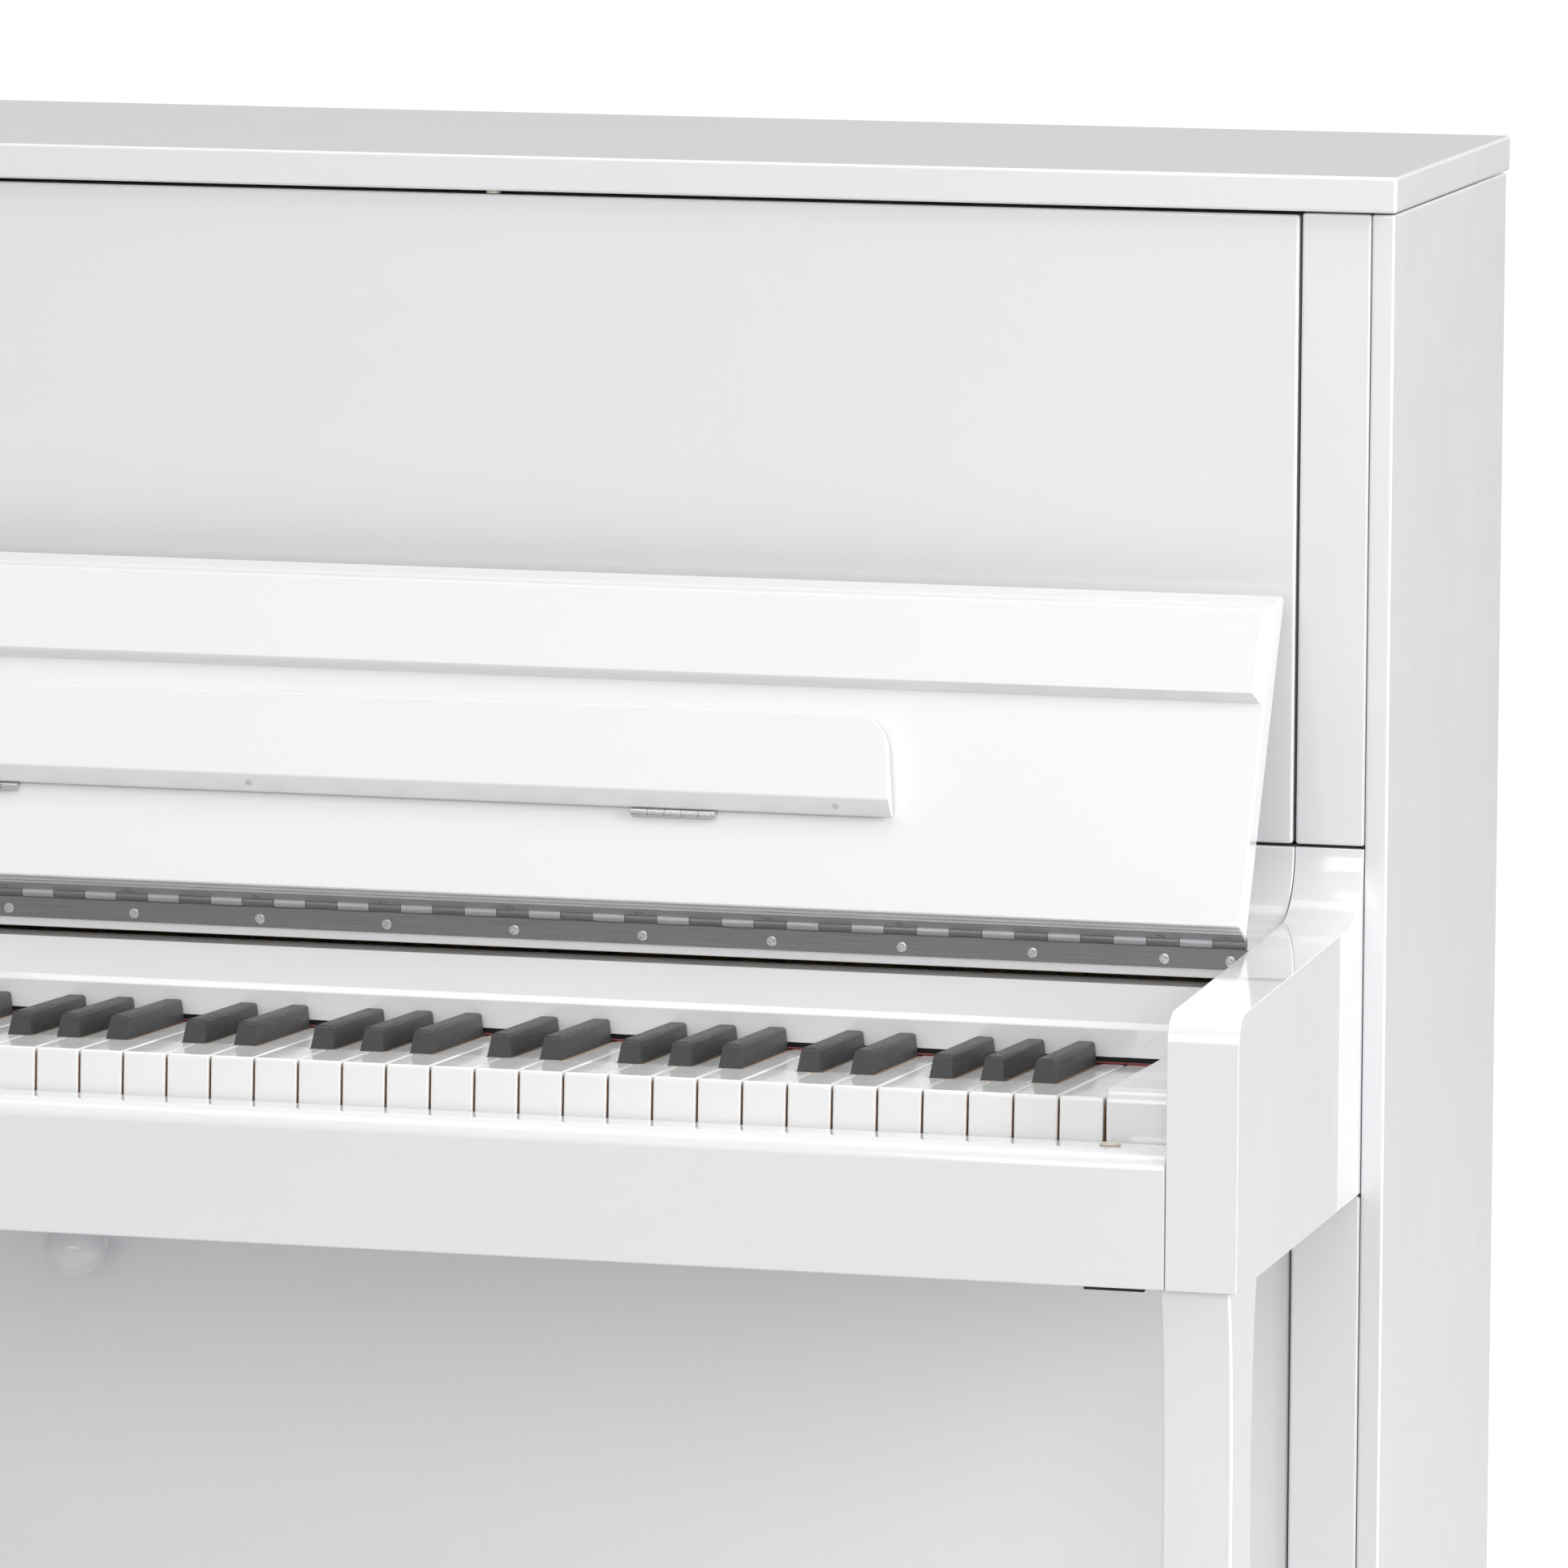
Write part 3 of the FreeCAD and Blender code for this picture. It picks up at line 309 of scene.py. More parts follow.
def across(outline, low, high):
    # an outline in depth and height, pulled from one x to another, in millimetres
    return prism([pt(low, a, b) for a, b in outline], Vector(((high - low) * mm, 0, 0)))


def cuboid(low, high):
    bm = bmesh.new()
    middle = (Vector(low) + Vector(high)) / 2
    size = Vector(high) - Vector(low)
    bmesh.ops.create_cube(bm, size=1, matrix=Matrix.Translation(middle) @ Matrix.Diagonal((*size, 1)))
    return bm


def bevelEdges(bm, edges, radius, segments):
    bmesh.ops.bevel(bm, geom=edges, offset=radius * mm, offset_type="OFFSET", affect="EDGES",
                    segments=segments, profile=0.5, material=-1, clamp_overlap=True)


def roundCorner(bm, deep, z, radius, segments=10):
    # a big round on the long edge that passes through this depth and height
    edges = [e for e in bm.edges if all(
        abs(v.co.y - py(deep)) < 1e-5 and abs(v.co.z - z * mm) < 1e-5 for v in e.verts)]
    bevelEdges(bm, edges, radius, segments)


def softenSharp(bm, radius, segments=3, angle=0.5, test=None):
    edges = [e for e in bm.edges if len(e.link_faces) == 2 and e.calc_face_angle(0) > angle
             and (test is None or test(e))]
    bevelEdges(bm, edges, radius, segments)


def board(name, node, body, radius=1.5, material=None):
    # the node's own box with softened edges
    low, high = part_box(node)
    bm = cuboid(low, high)
    softenSharp(bm, radius)
    return keepPiece(bm, name, body, material or lacquer, [node])


def spun(profile, steps):
    # profile of (along, radius) in millimetres, spun once round the X axis
    bm = bmesh.new()
    verts = [bm.verts.new((a * mm, 0, r * mm)) for a, r in profile]
    edges = [bm.edges.new(pair) for pair in zip(verts, verts[1:])]
    bmesh.ops.spin(bm, geom=verts + edges, cent=(0, 0, 0), axis=(1, 0, 0), angle=math.tau,
                   steps=steps, use_merge=True)
    bmesh.ops.remove_doubles(bm, verts=bm.verts, dist=1e-6)
    bmesh.ops.recalc_face_normals(bm, faces=bm.faces)
    return bm


def paint(material, *nodes):
    for node in nodes:
        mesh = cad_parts[node].data
        mesh.materials.clear()
        mesh.materials.append(material)


sideSizes = {"outer": 743, "thick": 28, "lip": 12, "front": 303, "inset": 341, "back": 608.5, "edge": 1.4}
armSizes = {"low": 643.5, "high": 826.5, "noseTop": 783, "heelTop": 791, "heel": 303, "back": 340.7,
            "nose": 15, "sweep": 35, "edge": 1.8}
legSizes = {"front": 6, "back": 72, "swell": [(4.5, 624), (8, 596), (10, 556)], "edge": 1.6}
toeSizes = {"front": 2, "back": 302.7, "nose": 14, "edge": 1.8}

for sign, side in ((-1, "left"), (1, "right")):
    low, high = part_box("side_panel_" + side)
    outer = sign * sideSizes["outer"]
    inner, lip = outer - sign * sideSizes["thick"], outer - sign * sideSizes["lip"]
    front, inset, back = sideSizes["front"], sideSizes["inset"], sideSizes["back"]
    outline = [(inner, back), (outer, back), (outer, front), (lip, front), (lip, inset), (inner, inset)]
    bm = prism([Vector((a * mm, py(b), low.z)) for a, b in outline], Vector((0, 0, high.z - low.z)))
    softenSharp(bm, sideSizes["edge"])
    keepPiece(bm, "case_side_" + side, "case", lacquer, ["side_panel_" + side])
    board("case_upper_column_" + side, "upper_column_" + side, "case")
    board("case_lower_column_" + side, "lower_column_" + side, "case")

    low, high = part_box("arm_" + side)
    heel, back = armSizes["heel"], armSizes["back"]
    armOutline = [(0, armSizes["low"]), (0, armSizes["noseTop"]), (heel, armSizes["heelTop"]),
                  (heel, armSizes["high"]), (back, armSizes["high"]), (back, armSizes["low"])]
    bm = across(armOutline, low.x / mm, high.x / mm)
    roundCorner(bm, 0, armSizes["noseTop"], armSizes["nose"], 12)
    roundCorner(bm, heel, armSizes["heelTop"], armSizes["sweep"], 14)
    softenSharp(bm, armSizes["edge"], 3, 0.4)
    keepPiece(bm, "case_arm_" + side, "case", lacquer, ["arm_" + side])

    low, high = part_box("leg_" + side)
    swell = [(0, high.z / mm)] + legSizes["swell"] + [(legSizes["swell"][-1][0], low.z / mm)]
    legOutline = [(legSizes["front"] + a, b) for a, b in swell]
    legOutline += [(legSizes["back"] - a, b) for a, b in reversed(swell)]
    bm = across(legOutline, low.x / mm, high.x / mm)
    softenSharp(bm, legSizes["edge"], 3, 0.9)
    keepPiece(bm, "case_leg_" + side, "case", lacquer, ["leg_" + side])

    low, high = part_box("toe_block_" + side)
    toe, back = toeSizes["front"], toeSizes["back"]
    toeOutline = [(toe, low.z / mm), (toe, high.z / mm), (back, high.z / mm), (back, low.z / mm)]
    bm = across(toeOutline, low.x / mm, high.x / mm)
    roundCorner(bm, toe, high.z / mm, toeSizes["nose"], 8)
    softenSharp(bm, toeSizes["edge"])
    keepPiece(bm, "case_toe_" + side, "case", lacquer, ["toe_block_" + side])

board("lid_panel", "top_lid", "lid", 1.8)
board("case_upper_panel", "upper_panel", "case", 1.8)
board("case_lower_panel", "lower_panel", "case", 1.8)
board("case_key_bed", "key_bed", "case", 1.2, lacquer)
board("case_bottom_board", "bottom_board", "case", 1.2, hiddenWood)

shelfSizes = {"front": 199.4, "wall": 302, "back": 322, "low": 771, "top": 786.6, "high": 826.5,
              "cove": 38.9, "edge": 0.8}
low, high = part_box("hinge_rail")
wall, top = shelfSizes["wall"], shelfSizes["top"]
bm = across([(shelfSizes["front"], shelfSizes["low"]), (shelfSizes["front"], top), (wall, top),
             (wall, shelfSizes["high"]), (shelfSizes["back"], shelfSizes["high"]),
             (shelfSizes["back"], shelfSizes["low"])], low.x / mm, high.x / mm)
roundCorner(bm, wall, top, shelfSizes["cove"], 14)
softenSharp(bm, shelfSizes["edge"], 2, 0.5)
keepPiece(bm, "case_hinge_shelf", "case", lacquer, ["hinge_rail"])

slipSizes = {"low": 643.5, "high": 713, "thick": 26, "nose": 10, "edge": 0.9}
low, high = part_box("key_slip")
bm = across([(0, slipSizes["low"]), (0, slipSizes["high"]), (slipSizes["thick"], slipSizes["high"]),
             (slipSizes["thick"], slipSizes["low"])], low.x / mm, high.x / mm)
roundCorner(bm, 0, slipSizes["high"], slipSizes["nose"], 8)
softenSharp(bm, slipSizes["edge"], 2)
keepPiece(bm, "case_key_slip", "case", lacquer, ["key_slip"])

cheekSizes = {"front": 28, "back": 177.2, "frontTop": 740, "backTop": 735, "nose": 8, "edge": 0.9}
for side in ("left", "right"):
    low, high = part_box("cheek_block_" + side)
    front, back = cheekSizes["front"], cheekSizes["back"]
    bm = across([(front, low.z / mm), (front, cheekSizes["frontTop"]), (back, cheekSizes["backTop"]),
                 (back, low.z / mm)], low.x / mm, high.x / mm)
    roundCorner(bm, front, cheekSizes["frontTop"], cheekSizes["nose"], 8)
    softenSharp(bm, cheekSizes["edge"], 2)
    keepPiece(bm, "case_cheek_" + side, "case", lacquer, ["cheek_block_" + side])

nameSizes = {"front": 177.5, "back": 209.4, "low": 731, "fold": 746, "ledge": 749, "high": 767.6,
             "ledgeIn": 3, "slopeIn": 12, "edge": 0.5}  # upright below the fold, sloping above it
low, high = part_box("name_board")
front, back = nameSizes["front"], nameSizes["back"]
bm = across([(front, nameSizes["low"]), (front, nameSizes["fold"]),
             (front + nameSizes["ledgeIn"], nameSizes["ledge"]),
             (front + nameSizes["slopeIn"], nameSizes["high"]), (back, nameSizes["high"]),
             (back, nameSizes["low"])], low.x / mm, high.x / mm)
softenSharp(bm, nameSizes["edge"], 2, 0.3)
for face in bm.faces:  # the slope is a warmer white
    face.material_index = 1 if face.calc_center_median().z > (nameSizes["ledge"] + 0.2) * mm else 0
keepPiece(bm, "case_name_board", "case", [lacquer, warmLacquer], ["name_board"])

paint(lacquer, "bottom_rail")
print("case made")

fallPin = pt(0, 198, 790)
leanBack = Matrix.Translation(fallPin) @ Matrix.Rotation(math.radians(-27), 4, "X")


def upright(outline, half):
    # an outline in the fallboard's own frame, before it leans back
    return prism([Vector((-half * mm, a * mm, b * mm)) for a, b in outline], Vector((2 * half * mm, 0, 0)))


def leanPiece(bm):
    bmesh.ops.transform(bm, matrix=leanBack, verts=bm.verts)


fallSizes = {"half": 691.5, "back": -4, "front": -22, "low": 1.5, "high": 188.5, "shoulder": 178.2,
             "rim": 5, "edge": 1.2}
back, front, shoulder = fallSizes["back"], fallSizes["front"], fallSizes["shoulder"]
bm = upright([(back, fallSizes["low"]), (back, fallSizes["high"]),
              (back - fallSizes["rim"], fallSizes["high"]), (front, shoulder),
              (front, fallSizes["low"])], fallSizes["half"])
softenSharp(bm, fallSizes["edge"], 3, 0.3)
leanPiece(bm)
keepPiece(bm, "fallboard_panel", "fallboard", lacquer, ["fallboard"])

stripSizes = {"half": 689.5, "proud": 6, "low": 123.8, "high": 173.5, "bevel": 3.7, "edge": 0.6}
stripFront = front - stripSizes["proud"]
bm = upright([(front, stripSizes["low"]), (stripFront, stripSizes["low"] + stripSizes["bevel"]),
              (stripFront, stripSizes["high"]), (front, shoulder)], stripSizes["half"])
for v in bm.verts:  # the ends slope in as the lower edge does
    if v.co.y < (stripFront + 0.5) * mm:
        v.co.x -= math.copysign(stripSizes["bevel"] * mm, v.co.x)
softenSharp(bm, stripSizes["edge"], 2, 0.3)
leanPiece(bm)
keepPiece(bm, "fallboard_lip", "fallboard", lacquer, ["fallboard_strip"])

deskSizes = {"half": 502, "taper": 9, "low": 52.6, "high": 106, "back": -23.7, "front": -32.7, "bevel": 7,
             "corner": 15, "edge": 0.8}
bm = bmesh.new()
half, low, high = deskSizes["half"], deskSizes["low"], deskSizes["high"]
corners = [(-half, low), (deskSizes["taper"] - half, high), (half - deskSizes["taper"], high), (half, low)]
face = bm.faces.new([bm.verts.new((a * mm, deskSizes["back"] * mm, b * mm)) for a, b in corners])
pulled = bmesh.ops.extrude_face_region(bm, geom=[face])
moved = [v for v in pulled["geom"] if isinstance(v, bmesh.types.BMVert)]
bmesh.ops.translate(bm, verts=moved, vec=(0, (deskSizes["front"] - deskSizes["back"]) * mm, 0))
topCorners = [e for e in bm.edges if all(abs(v.co.z - high * mm) < 1e-6 for v in e.verts)
              and abs(e.verts[0].co.x - e.verts[1].co.x) < 1e-6]
bevelEdges(bm, topCorners, deskSizes["corner"], 10)
lowFront = [e for e in bm.edges if all(abs(v.co.z - low * mm) < 1e-6
                                       and abs(v.co.y - deskSizes["front"] * mm) < 1e-6 for v in e.verts)]
bevelEdges(bm, lowFront, deskSizes["bevel"], 1)
softenSharp(bm, deskSizes["edge"], 3, 0.4)
leanPiece(bm)
keepPiece(bm, "desk_leaf", "desk", lacquer, ["music_desk"])

dotSizes = {"outer": 472, "inner": 152, "y": -29.2, "z": 56.1}  # on the bevel along the leaf's foot
dotProfile = [(-0.5, 0.0), (-0.5, 2.0), (0.1, 1.9), (0.35, 1.3), (0.4, 0.0)]
dots = bmesh.new()
for x in (-dotSizes["outer"], -dotSizes["inner"], dotSizes["inner"], dotSizes["outer"]):
    dot = spun(dotProfile, 20)
    turn = Vector((1, 0, 0)).rotation_difference(Vector((0, -1, -1)).normalized()).to_matrix().to_4x4()
    slope = Matrix.Translation((x * mm, dotSizes["y"] * mm, dotSizes["z"] * mm)) @ turn
    bmesh.ops.transform(dot, matrix=leanBack @ slope, verts=dot.verts)
    joinInto(dots, dot)
keepPiece(dots, "desk_dots", "desk", dotPlastic, flat=False)
paint(nickel, "desk_hinge_plates", "desk_hinge_flaps", "lid_hinge_plates", "lid_hinge_flaps")
paint(satinAluminium, "hinge_upper_leaf")
# the lower leaf's darker colour is painted shade
paint(shadedLeafAluminium, "hinge_lower_leaf")


def screwHead(radius):
    # a countersunk head with a recess, facing +X
    return spun([(-0.8, 0.0), (-0.7, 0.6), (-0.02, 1.0), (0.06, radius * 0.8), (-0.05, radius),
                 (-0.4, radius)], 20)


screwSizes = {"pitch": 70, "first": 647.5, "end": 682.5, "count": 20, "drop": 9.66, "proud": 0.12,
              "radius": 2.7, "upperRadius": 2.3, "upperIn": 7.6, "upperProud": 0.1}
turnFront = Matrix.Rotation(math.radians(-90), 4, "Z")  # +X turned to -Y
turnDown = Vector((1, 0, 0)).rotation_difference(Vector((0, 0, -1))).to_matrix().to_4x4()
screws = bmesh.new()
upperScrews = bmesh.new()
screwPlaces = [screwSizes["first"] - k * screwSizes["pitch"] for k in range(screwSizes["count"])]
for x in screwPlaces + [screwSizes["end"]]:
    head = screwHead(screwSizes["radius"])
    spot = fallPin + Vector((x * mm, screwSizes["proud"] * mm, -screwSizes["drop"] * mm))
    where = Matrix.Translation(spot) @ turnFront
    bmesh.ops.transform(head, matrix=where, verts=head.verts)
    joinInto(screws, head)
    head = screwHead(screwSizes["upperRadius"])
    spot = Vector((x * mm, -screwSizes["upperIn"] * mm, screwSizes["upperProud"] * mm))
    where = leanBack @ Matrix.Translation(spot) @ turnDown
    bmesh.ops.transform(head, matrix=where, verts=head.verts)
    joinInto(upperScrews, head)
keepPiece(screws, "hinge_screw_heads", "case", nickel, ["hinge_screws"], flat=False)
keepPiece(upperScrews, "fallboard_screw_heads", "fallboard", nickel, flat=False)
print("fallboard made")

keySizes = {"offset": 43, "pitch": 23.56, "gap": 1.0, "top": 735, "front": 29, "height": 23, "length": 380,
            "tilt": 3.0, "head": 51, "sharpLength": 95, "sharpHeight": 12, "sharpWidth": 12.2,
            "sharpGap": 1.0, "plastic": 2.6, "round": 1.1}
noteNames = "CDEFGAB"
sharpShift = {"C": -2.3, "D": 2.3, "F": -3.3, "G": 0.0, "A": 3.3}
movingKeys = ("c5", "c_sharp5", "d5", "d_sharp5", "e5")
keyPlace = Matrix.Translation(pt(0, keySizes["front"], keySizes["top"])) @ Matrix.Rotation(
    math.radians(-keySizes["tilt"]), 4, "X")


def whiteKey(left, right, tailLeft, tailRight):
    head, length = keySizes["head"], keySizes["length"]
    corners = [(left, 0), (right, 0), (right, head), (tailRight, head), (tailRight, length),
               (tailLeft, length), (tailLeft, head), (left, head)]
    points = [c for i, c in enumerate(corners) if c != corners[i - 1]]
    bm = prism([Vector((a * mm, b * mm, 0)) for a, b in points], Vector((0, 0, -keySizes["height"] * mm)))
    softenSharp(bm, keySizes["round"], 2, 0.5,
                lambda e: all(v.co.z > -1e-6 for v in e.verts) or all(v.co.y < 1e-6 for v in e.verts)
                and abs(e.verts[0].co.z - e.verts[1].co.z) > 0.01)
    bmesh.ops.bisect_plane(bm, geom=bm.verts[:] + bm.edges[:] + bm.faces[:],
                           plane_co=(0, 0, -keySizes["plastic"] * mm), plane_no=(0, 0, 1))
    for face in bm.faces:
        middle = face.calc_center_median()
        plastic = middle.z > -keySizes["plastic"] * mm or middle.y < 1.0 * mm
        face.material_index = 0 if plastic else 1
    bmesh.ops.transform(bm, matrix=keyPlace, verts=bm.verts)
    return bm


def blackKey(middle):
    wide, head, high = keySizes["sharpWidth"], keySizes["head"] + 1.2, keySizes["sharpHeight"]
    back, low = head + keySizes["sharpLength"] - 1.2, -keySizes["height"]
    outline = [(head, low), (head, 0), (head + 3.5, high), (back, high), (back, 0),
               (keySizes["length"], 0), (keySizes["length"], low)]
    bm = prism([Vector(((middle - wide / 2) * mm, a * mm, b * mm)) for a, b in outline],
               Vector((wide * mm, 0, 0)))
    bmesh.ops.bisect_plane(bm, geom=bm.verts[:] + bm.edges[:] + bm.faces[:],
                           plane_co=(0, 0, -0.2 * mm), plane_no=(0, 0, 1))
    for v in bm.verts:
        if v.co.z > 0.9 * high * mm:  # narrower at the top
            v.co.x = middle * mm + (v.co.x - middle * mm) * 0.78
    softenSharp(bm, 1.7, 4, 0.5, lambda e: all(v.co.z > 0.9 * high * mm for v in e.verts))
    softenSharp(bm, 1.2, 3, 0.5, lambda e: max(v.co.z for v in e.verts) > 2 * mm
                and min(v.co.z for v in e.verts) > -1e-5 and e.calc_length() > 4 * mm)
    for face in bm.faces:
        face.material_index = 0 if face.calc_center_median().z > -0.19 * mm else 1
    bmesh.ops.transform(bm, matrix=keyPlace, verts=bm.verts)
    return bm


whites, blacks = bmesh.new(), bmesh.new()
keysLeft = keySizes["offset"] - 26 * keySizes["pitch"]
reach = keySizes["sharpWidth"] / 2 + keySizes["sharpGap"]
for i in range(52):
    note, octave = noteNames[(i + 5) % 7], (i + 5) // 7
    before = noteNames[(i + 4) % 7] if i else ""
    lowX = keysLeft + i * keySizes["pitch"]
    left, right = lowX + keySizes["gap"] / 2, lowX + keySizes["pitch"] - keySizes["gap"] / 2
    tailLeft = lowX + sharpShift[before] + reach if before in sharpShift else left
    hasSharp = note in sharpShift and i < 51
    tailRight = lowX + keySizes["pitch"] + sharpShift[note] - reach if hasSharp else right
    made = [(note.lower() + str(octave), whiteKey(left, right, tailLeft, tailRight), whites, "white_key",
             [keyPlastic, keyWood])]
    if hasSharp:
        sharp = blackKey(lowX + keySizes["pitch"] + sharpShift[note])
        made.append(("%s_sharp%d" % (note.lower(), octave), sharp, blacks, "black_key", [keyEbony, keyWood]))
    for name, bm, target, slotName, materials in made:
        if name in movingKeys:
            keepPiece(bm, "played_" + name, "key_" + name, materials, ["key_" + name])
        else:
            joinInto(target, bm)
keepPiece(whites, "white_key_row", "case", [keyPlastic, keyWood], ["white_keys"])
keepPiece(blacks, "black_key_row", "case", [keyEbony, keyWood], ["black_keys"])
paint(hiddenWood, "key_frame")

feltAndSlotShadeSizes = {"left": -569, "right": 655.4, "front": 178.2, "slotShadeFront": 179.4, "back": 184.4,
             "low": 727.5, "high": 728.1, "slotShadeHigh": 730.9}
bm = cuboid(pt(feltAndSlotShadeSizes["left"], feltAndSlotShadeSizes["front"], feltAndSlotShadeSizes["low"]),
            pt(feltAndSlotShadeSizes["right"], feltAndSlotShadeSizes["back"], feltAndSlotShadeSizes["high"]))
softenSharp(bm, 0.2, 2)
keepPiece(bm, "name_felt", "case", redFelt)
# a dark strip filling the slot under the name board: painted shade for the shaded gap above the key tops
bm = cuboid(pt(feltAndSlotShadeSizes["left"], feltAndSlotShadeSizes["slotShadeFront"], feltAndSlotShadeSizes["high"] + 0.1),
            pt(feltAndSlotShadeSizes["right"], feltAndSlotShadeSizes["back"], feltAndSlotShadeSizes["slotShadeHigh"]))
softenSharp(bm, 0.3, 2)
keepPiece(bm, "name_slot_shade", "case", darkFeltAndSlotShade)
print("keys made")

knobSizes = {"radius": 16.5, "x": 26, "deep": 306, "z": 583, "reach": 42, "sweep": 150, "steps": 16}
ball = []
radius = knobSizes["radius"]
for k in range(knobSizes["steps"] + 1):  # from the pole round to the neck
    turn = math.radians(knobSizes["sweep"]) * k / knobSizes["steps"]
    ball.append((radius * math.cos(turn) + knobSizes["reach"] - radius, radius * math.sin(turn)))
ball += [(9.0, 7.2), (3.0, 7.4), (1.2, 10.5), (0.1, 11.0)]  # neck and foot
bm = spun(ball, 48)
where = Matrix.Translation(pt(knobSizes["x"], knobSizes["deep"], knobSizes["z"])) @ turnFront
bmesh.ops.transform(bm, matrix=where, verts=bm.verts)
keepPiece(bm, "lower_panel_knob", "case", lacquer, ["panel_knob"], flat=False)

def stub(place, lowRadius, highRadius, depth, segments, stretch=1):
    # a short round post, wider along x when stretched
    bm = bmesh.new()
    bmesh.ops.create_cone(bm, cap_ends=True, segments=segments, radius1=lowRadius * mm,
                          radius2=highRadius * mm, depth=depth * mm,
                          matrix=Matrix.Translation(place) @ Matrix.Diagonal((stretch, 1, 1, 1)))
    return bm


buttonSizes = {"left": -573.6, "right": 661.6, "deep": 17, "z": 713.75, "long": 11, "wide": 7, "high": 1.4}
buttons = bmesh.new()
for x in (buttonSizes["left"], buttonSizes["right"]):
    radius = buttonSizes["wide"] / 2
    button = stub(pt(x, buttonSizes["deep"], buttonSizes["z"]), radius, radius, buttonSizes["high"], 40,
                  buttonSizes["long"] / buttonSizes["wide"])
    softenSharp(button, 0.5, 3, 0.8)
    joinInto(buttons, button)
keepPiece(buttons, "slip_button_caps", "case", creamPlastic, ["slip_buttons"])

bumperSizes = {"x": 254, "deep": 307, "z": 1159.9, "radius": 4, "topRadius": 3.6, "high": 1.6}
bumpers = bmesh.new()
for x in (-bumperSizes["x"], bumperSizes["x"]):
    bumper = stub(pt(x, bumperSizes["deep"], bumperSizes["z"]), bumperSizes["radius"],
                  bumperSizes["topRadius"], bumperSizes["high"], 32)
    softenSharp(bumper, 0.3, 2, 0.8)
    joinInto(bumpers, bumper)
keepPiece(bumpers, "lid_bumpers", "case", creamPlastic)

padSizes = {"left": 652, "right": 683, "front": 1.5, "back": 22, "low": 642.0, "high": 643.4}
bm = cuboid(pt(padSizes["left"], padSizes["front"], padSizes["low"]),
            pt(padSizes["right"], padSizes["back"], padSizes["high"]))
softenSharp(bm, 0.3, 2)
keepPiece(bm, "slip_pad", "case", darkFeltAndSlotShade)

for name in ("front_left", "front_right", "back_left", "back_right"):
    low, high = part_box("wheel_" + name)
    middle = (low + high) / 2
    half = (high.x - low.x) / 2 / mm
    flank = [(0, 3.2), (0, 6.5), (1.4, 7.2), (1.4, 12.2), (0.3, 13.0), (0.3, 15.2), (1.6, 16.5), (4.0, 17.0)]
    ring = [(a - half, r) for a, r in flank] + [(half - a, r) for a, r in reversed(flank)]
    wheel = spun(ring + ring[:1], 40)
    bmesh.ops.transform(wheel, matrix=Matrix.Translation(middle), verts=wheel.verts)
    keepPiece(wheel, "caster_" + name, "wheel_" + name, wheelPlastic, ["wheel_" + name])
paint(castSteel, "caster_forks", "pedal_brackets", "damper_rod")

pedalSizes = {"spread": 78, "top": 78, "thick": 9, "tip": 196, "wide": 17, "back": 460, "shoulder": 9,
              "edge": 2.6, "pinDeep": 398, "pinHigh": 73.5}
for column, name in ((-1, "left"), (0, "middle"), (1, "right")):
    middle, wide, tip = column * pedalSizes["spread"], pedalSizes["wide"], pedalSizes["tip"]
    right = [(0.2, 0), (0.62, 9), (1, 34), (0.9, 72), (0.5, 104)]
    outline = [(wide * a, tip + b) for a, b in right] + [(wide * 0.5, pedalSizes["back"])]
    outline += [(-a, b) for a, b in reversed(outline)]
    bm = prism([pt(middle + a, b, pedalSizes["top"] - pedalSizes["thick"]) for a, b in outline],
               Vector((0, 0, pedalSizes["thick"] * mm)))
    edges = [e for e in bm.edges if abs(e.verts[0].co.z - e.verts[1].co.z) > 5 * mm
             and py(tip + 5) < e.verts[0].co.y < py(tip + 110)]
    bevelEdges(bm, edges, pedalSizes["shoulder"], 5)
    softenSharp(bm, pedalSizes["edge"], 4, 0.8)
    boss = spun([(-8.5, 4.1), (-8.5, 8.2), (-7.9, 8.9), (7.9, 8.9), (8.5, 8.2), (8.5, 4.1), (-8.5, 4.1)], 32)
    pin = Matrix.Translation(pt(middle, pedalSizes["pinDeep"], pedalSizes["pinHigh"]))
    bmesh.ops.transform(boss, matrix=pin, verts=boss.verts)
    joinInto(bm, boss)
    keepPiece(bm, "foot_pedal_" + name, "pedal_" + name, chrome, ["pedal_" + name])
print("fittings made")

low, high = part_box("back_frame")
posts, beams = bmesh.new(), bmesh.new()
backSizes = {"deep": 542.5, "post": 62, "sill": 84, "beam": 118, "blockDeep": 491.2, "blockDrop": 32}
halfBack = high.x / mm
for k in range(5):
    x = -halfBack + k * (2 * halfBack - backSizes["post"]) / 4
    post = cuboid(pt(x, backSizes["deep"], low.z / mm + backSizes["sill"]),
                  Vector(((x + backSizes["post"]) * mm, high.y, high.z - backSizes["beam"] * mm)))
    softenSharp(post, 2.0)
    joinInto(posts, post)
for bottom, top, deep in ((low.z, low.z + backSizes["sill"] * mm, backSizes["deep"]),
                          (high.z - backSizes["beam"] * mm, high.z, backSizes["deep"])):
    beam = cuboid(Vector((low.x, py(deep), bottom)), Vector((high.x, high.y, top)))
    softenSharp(beam, 2.0)
    joinInto(beams, beam)
blockLow = high.z - (backSizes["beam"] + backSizes["blockDrop"]) * mm
block = cuboid(Vector((low.x, py(backSizes["blockDeep"]), blockLow)),
               Vector((high.x, py(backSizes["deep"]), high.z)))
softenSharp(block, 1.0)
joinInto(beams, block)
keepPiece(posts, "back_posts", "case", spruceUp, ["back_frame"])
keepPiece(beams, "back_beams", "case", spruceAcross, ["back_frame"])
paint(boardSpruce, "soundboard")
paint(ironPaint, "iron_plate")
paint(stringSteel, "strings", "tuning_pins")
paint(castSteel, "action_frame")
paint(hammerWood, "hammers")
print("back made")

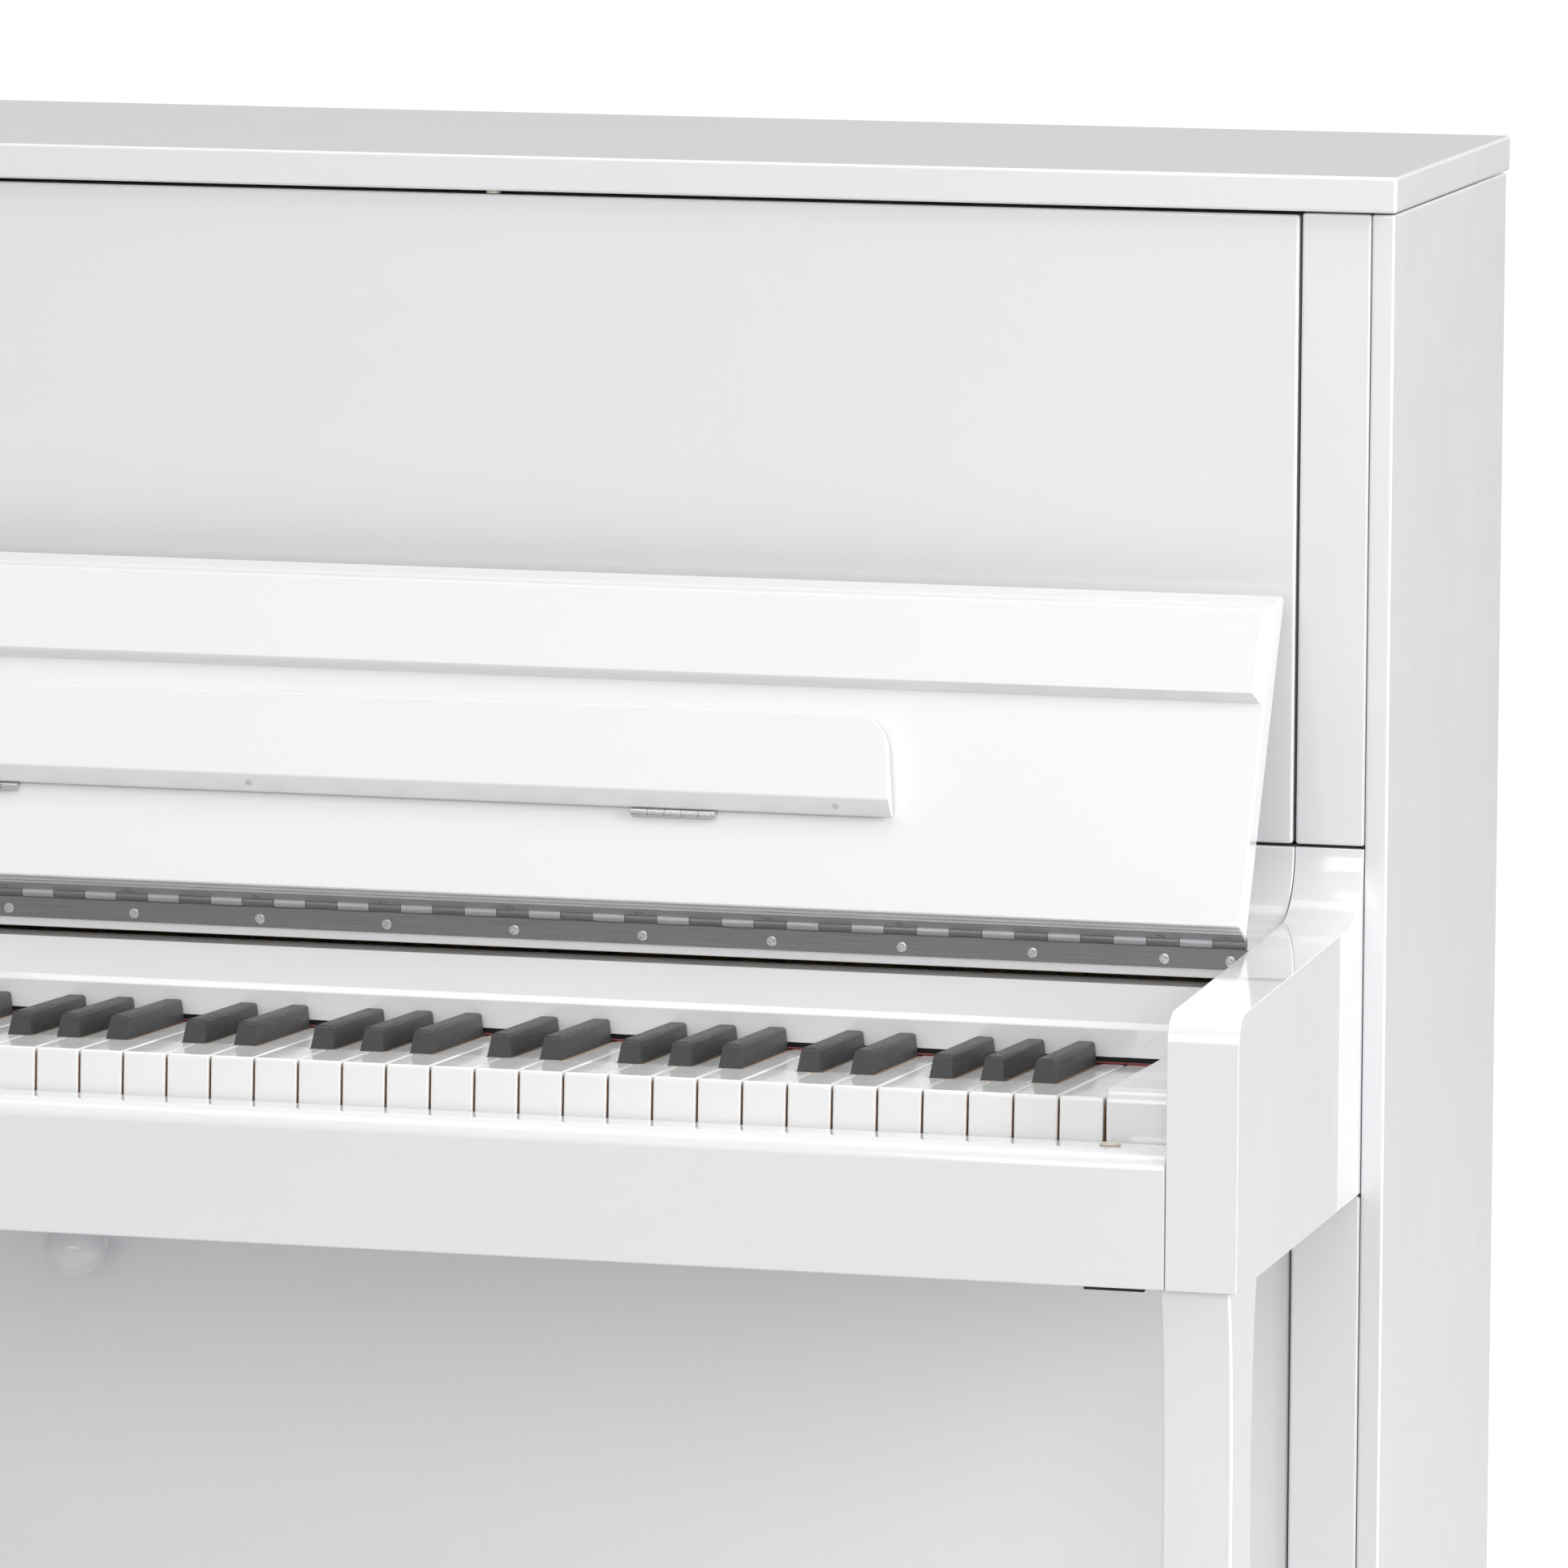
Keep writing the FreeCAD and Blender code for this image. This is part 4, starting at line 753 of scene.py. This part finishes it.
floorSizes = {"half": 45, "lift": 0.66}
bm = bmesh.new()
bmesh.ops.create_grid(bm, x_segments=8, y_segments=8, size=floorSizes["half"])
mesh = bpy.data.meshes.new("studioFloor")
bm.to_mesh(mesh)
bm.free()
floor = bpy.data.objects.new("studioFloor", mesh)
bpy.context.scene.collection.objects.link(floor)
floorPaint = cloudyMaterial("paleFloor", (0.58, 0.58, 0.59), (0.56, 0.56, 0.57), 0.6,
                            (0.5, 0.62), 60.0, 0.05, 0.0005, Emission_Color=(1.0, 1.0, 1.0, 1.0))
floorTree = floorPaint.node_tree  # lifted to white only where the camera sees it
lift = addNode(floorTree, "ShaderNodeMath", (-250, -600))
lift.operation = "MULTIPLY"
lift.inputs[1].default_value = floorSizes["lift"]
floorPath = floorTree.nodes.new("ShaderNodeLightPath")
floorTree.links.new(floorPath.outputs["Is Camera Ray"], lift.inputs[0])
floorTree.links.new(lift.outputs[0], floorTree.nodes["Principled BSDF"].inputs["Emission Strength"])
mesh.materials.append(floorPaint)

lightSizes = {"sky": 0.61, "key": 58, "fill": 128, "top": 26, "back": 40}
scene = bpy.context.scene
world = bpy.data.worlds.new("studio")
scene.world = world
world.use_nodes = True
tree = world.node_tree
sky = tree.nodes["Background"]
sky.inputs["Color"].default_value = (1.0, 1.0, 1.0, 1.0)
sky.inputs["Strength"].default_value = lightSizes["sky"]
plain = addNode(tree, "ShaderNodeBackground", (0, -150), Strength=1.0)
path = tree.nodes.new("ShaderNodeLightPath")
pick = tree.nodes.new("ShaderNodeMixShader")
tree.links.new(path.outputs["Is Camera Ray"], pick.inputs[0])
tree.links.new(sky.outputs[0], pick.inputs[1])
tree.links.new(plain.outputs[0], pick.inputs[2])
plain.inputs["Color"].default_value = (1.0, 1.0, 1.0, 1.0)
tree.links.new(pick.outputs[0], tree.nodes["World Output"].inputs["Surface"])


def softbox(name, place, target, size, power):
    light = bpy.data.lights.new(name, "AREA")
    light.shape = "RECTANGLE"
    light.size, light.size_y = size
    light.energy = power
    lamp = bpy.data.objects.new(name, light)
    scene.collection.objects.link(lamp)
    lamp.location = place
    lamp.rotation_euler = (Vector(target) - Vector(place)).to_track_quat("-Z", "Y").to_euler()
    lamp.visible_camera = False
    return lamp


softbox("keyLight", (0.9, -4.4, 2.2), (0, 0, 0.8), (3.0, 2.0), lightSizes["key"])
softbox("fillLight", (4.2, -0.8, 2.2), (0.5, 0, 0.8), (1.6, 2.2), lightSizes["fill"])
softbox("backLight", (-3.4, 4.2, 2.4), (0, 0, 0.8), (2.4, 2.0), lightSizes["back"])
softbox("topLight", (0.2, -0.6, 4.0), (0, 0, 1.0), (2.6, 1.6), lightSizes["top"])

cameraSizes = {"place": (1.8322, -5.3748, 1.6032), "yaw": 14.770, "tilt": 7.734, "roll": 0.267,
               "lens": 242.24, "sensor": 36, "reach": 200}
camera = bpy.data.objects.new("camera", bpy.data.cameras.new("camera"))
scene.collection.objects.link(camera)
scene.camera = camera
yaw, tilt = math.radians(cameraSizes["yaw"]), math.radians(cameraSizes["tilt"])
look = Vector((-math.sin(yaw) * math.cos(tilt), math.cos(yaw) * math.cos(tilt), -math.sin(tilt)))
rightWay = look.cross(Vector((0, 0, 1))).normalized()
turned = Matrix.Rotation(-math.radians(cameraSizes["roll"]), 3, look) @ rightWay
upWay = turned.cross(look)
camera.matrix_world = Matrix.Translation(cameraSizes["place"]) @ Matrix(
    (turned, upWay, -look)).transposed().to_4x4()
camera.data.lens = cameraSizes["lens"]
camera.data.sensor_width = cameraSizes["sensor"]
camera.data.clip_end = cameraSizes["reach"]
scene.view_settings.view_transform = "Standard"
print("stage set")
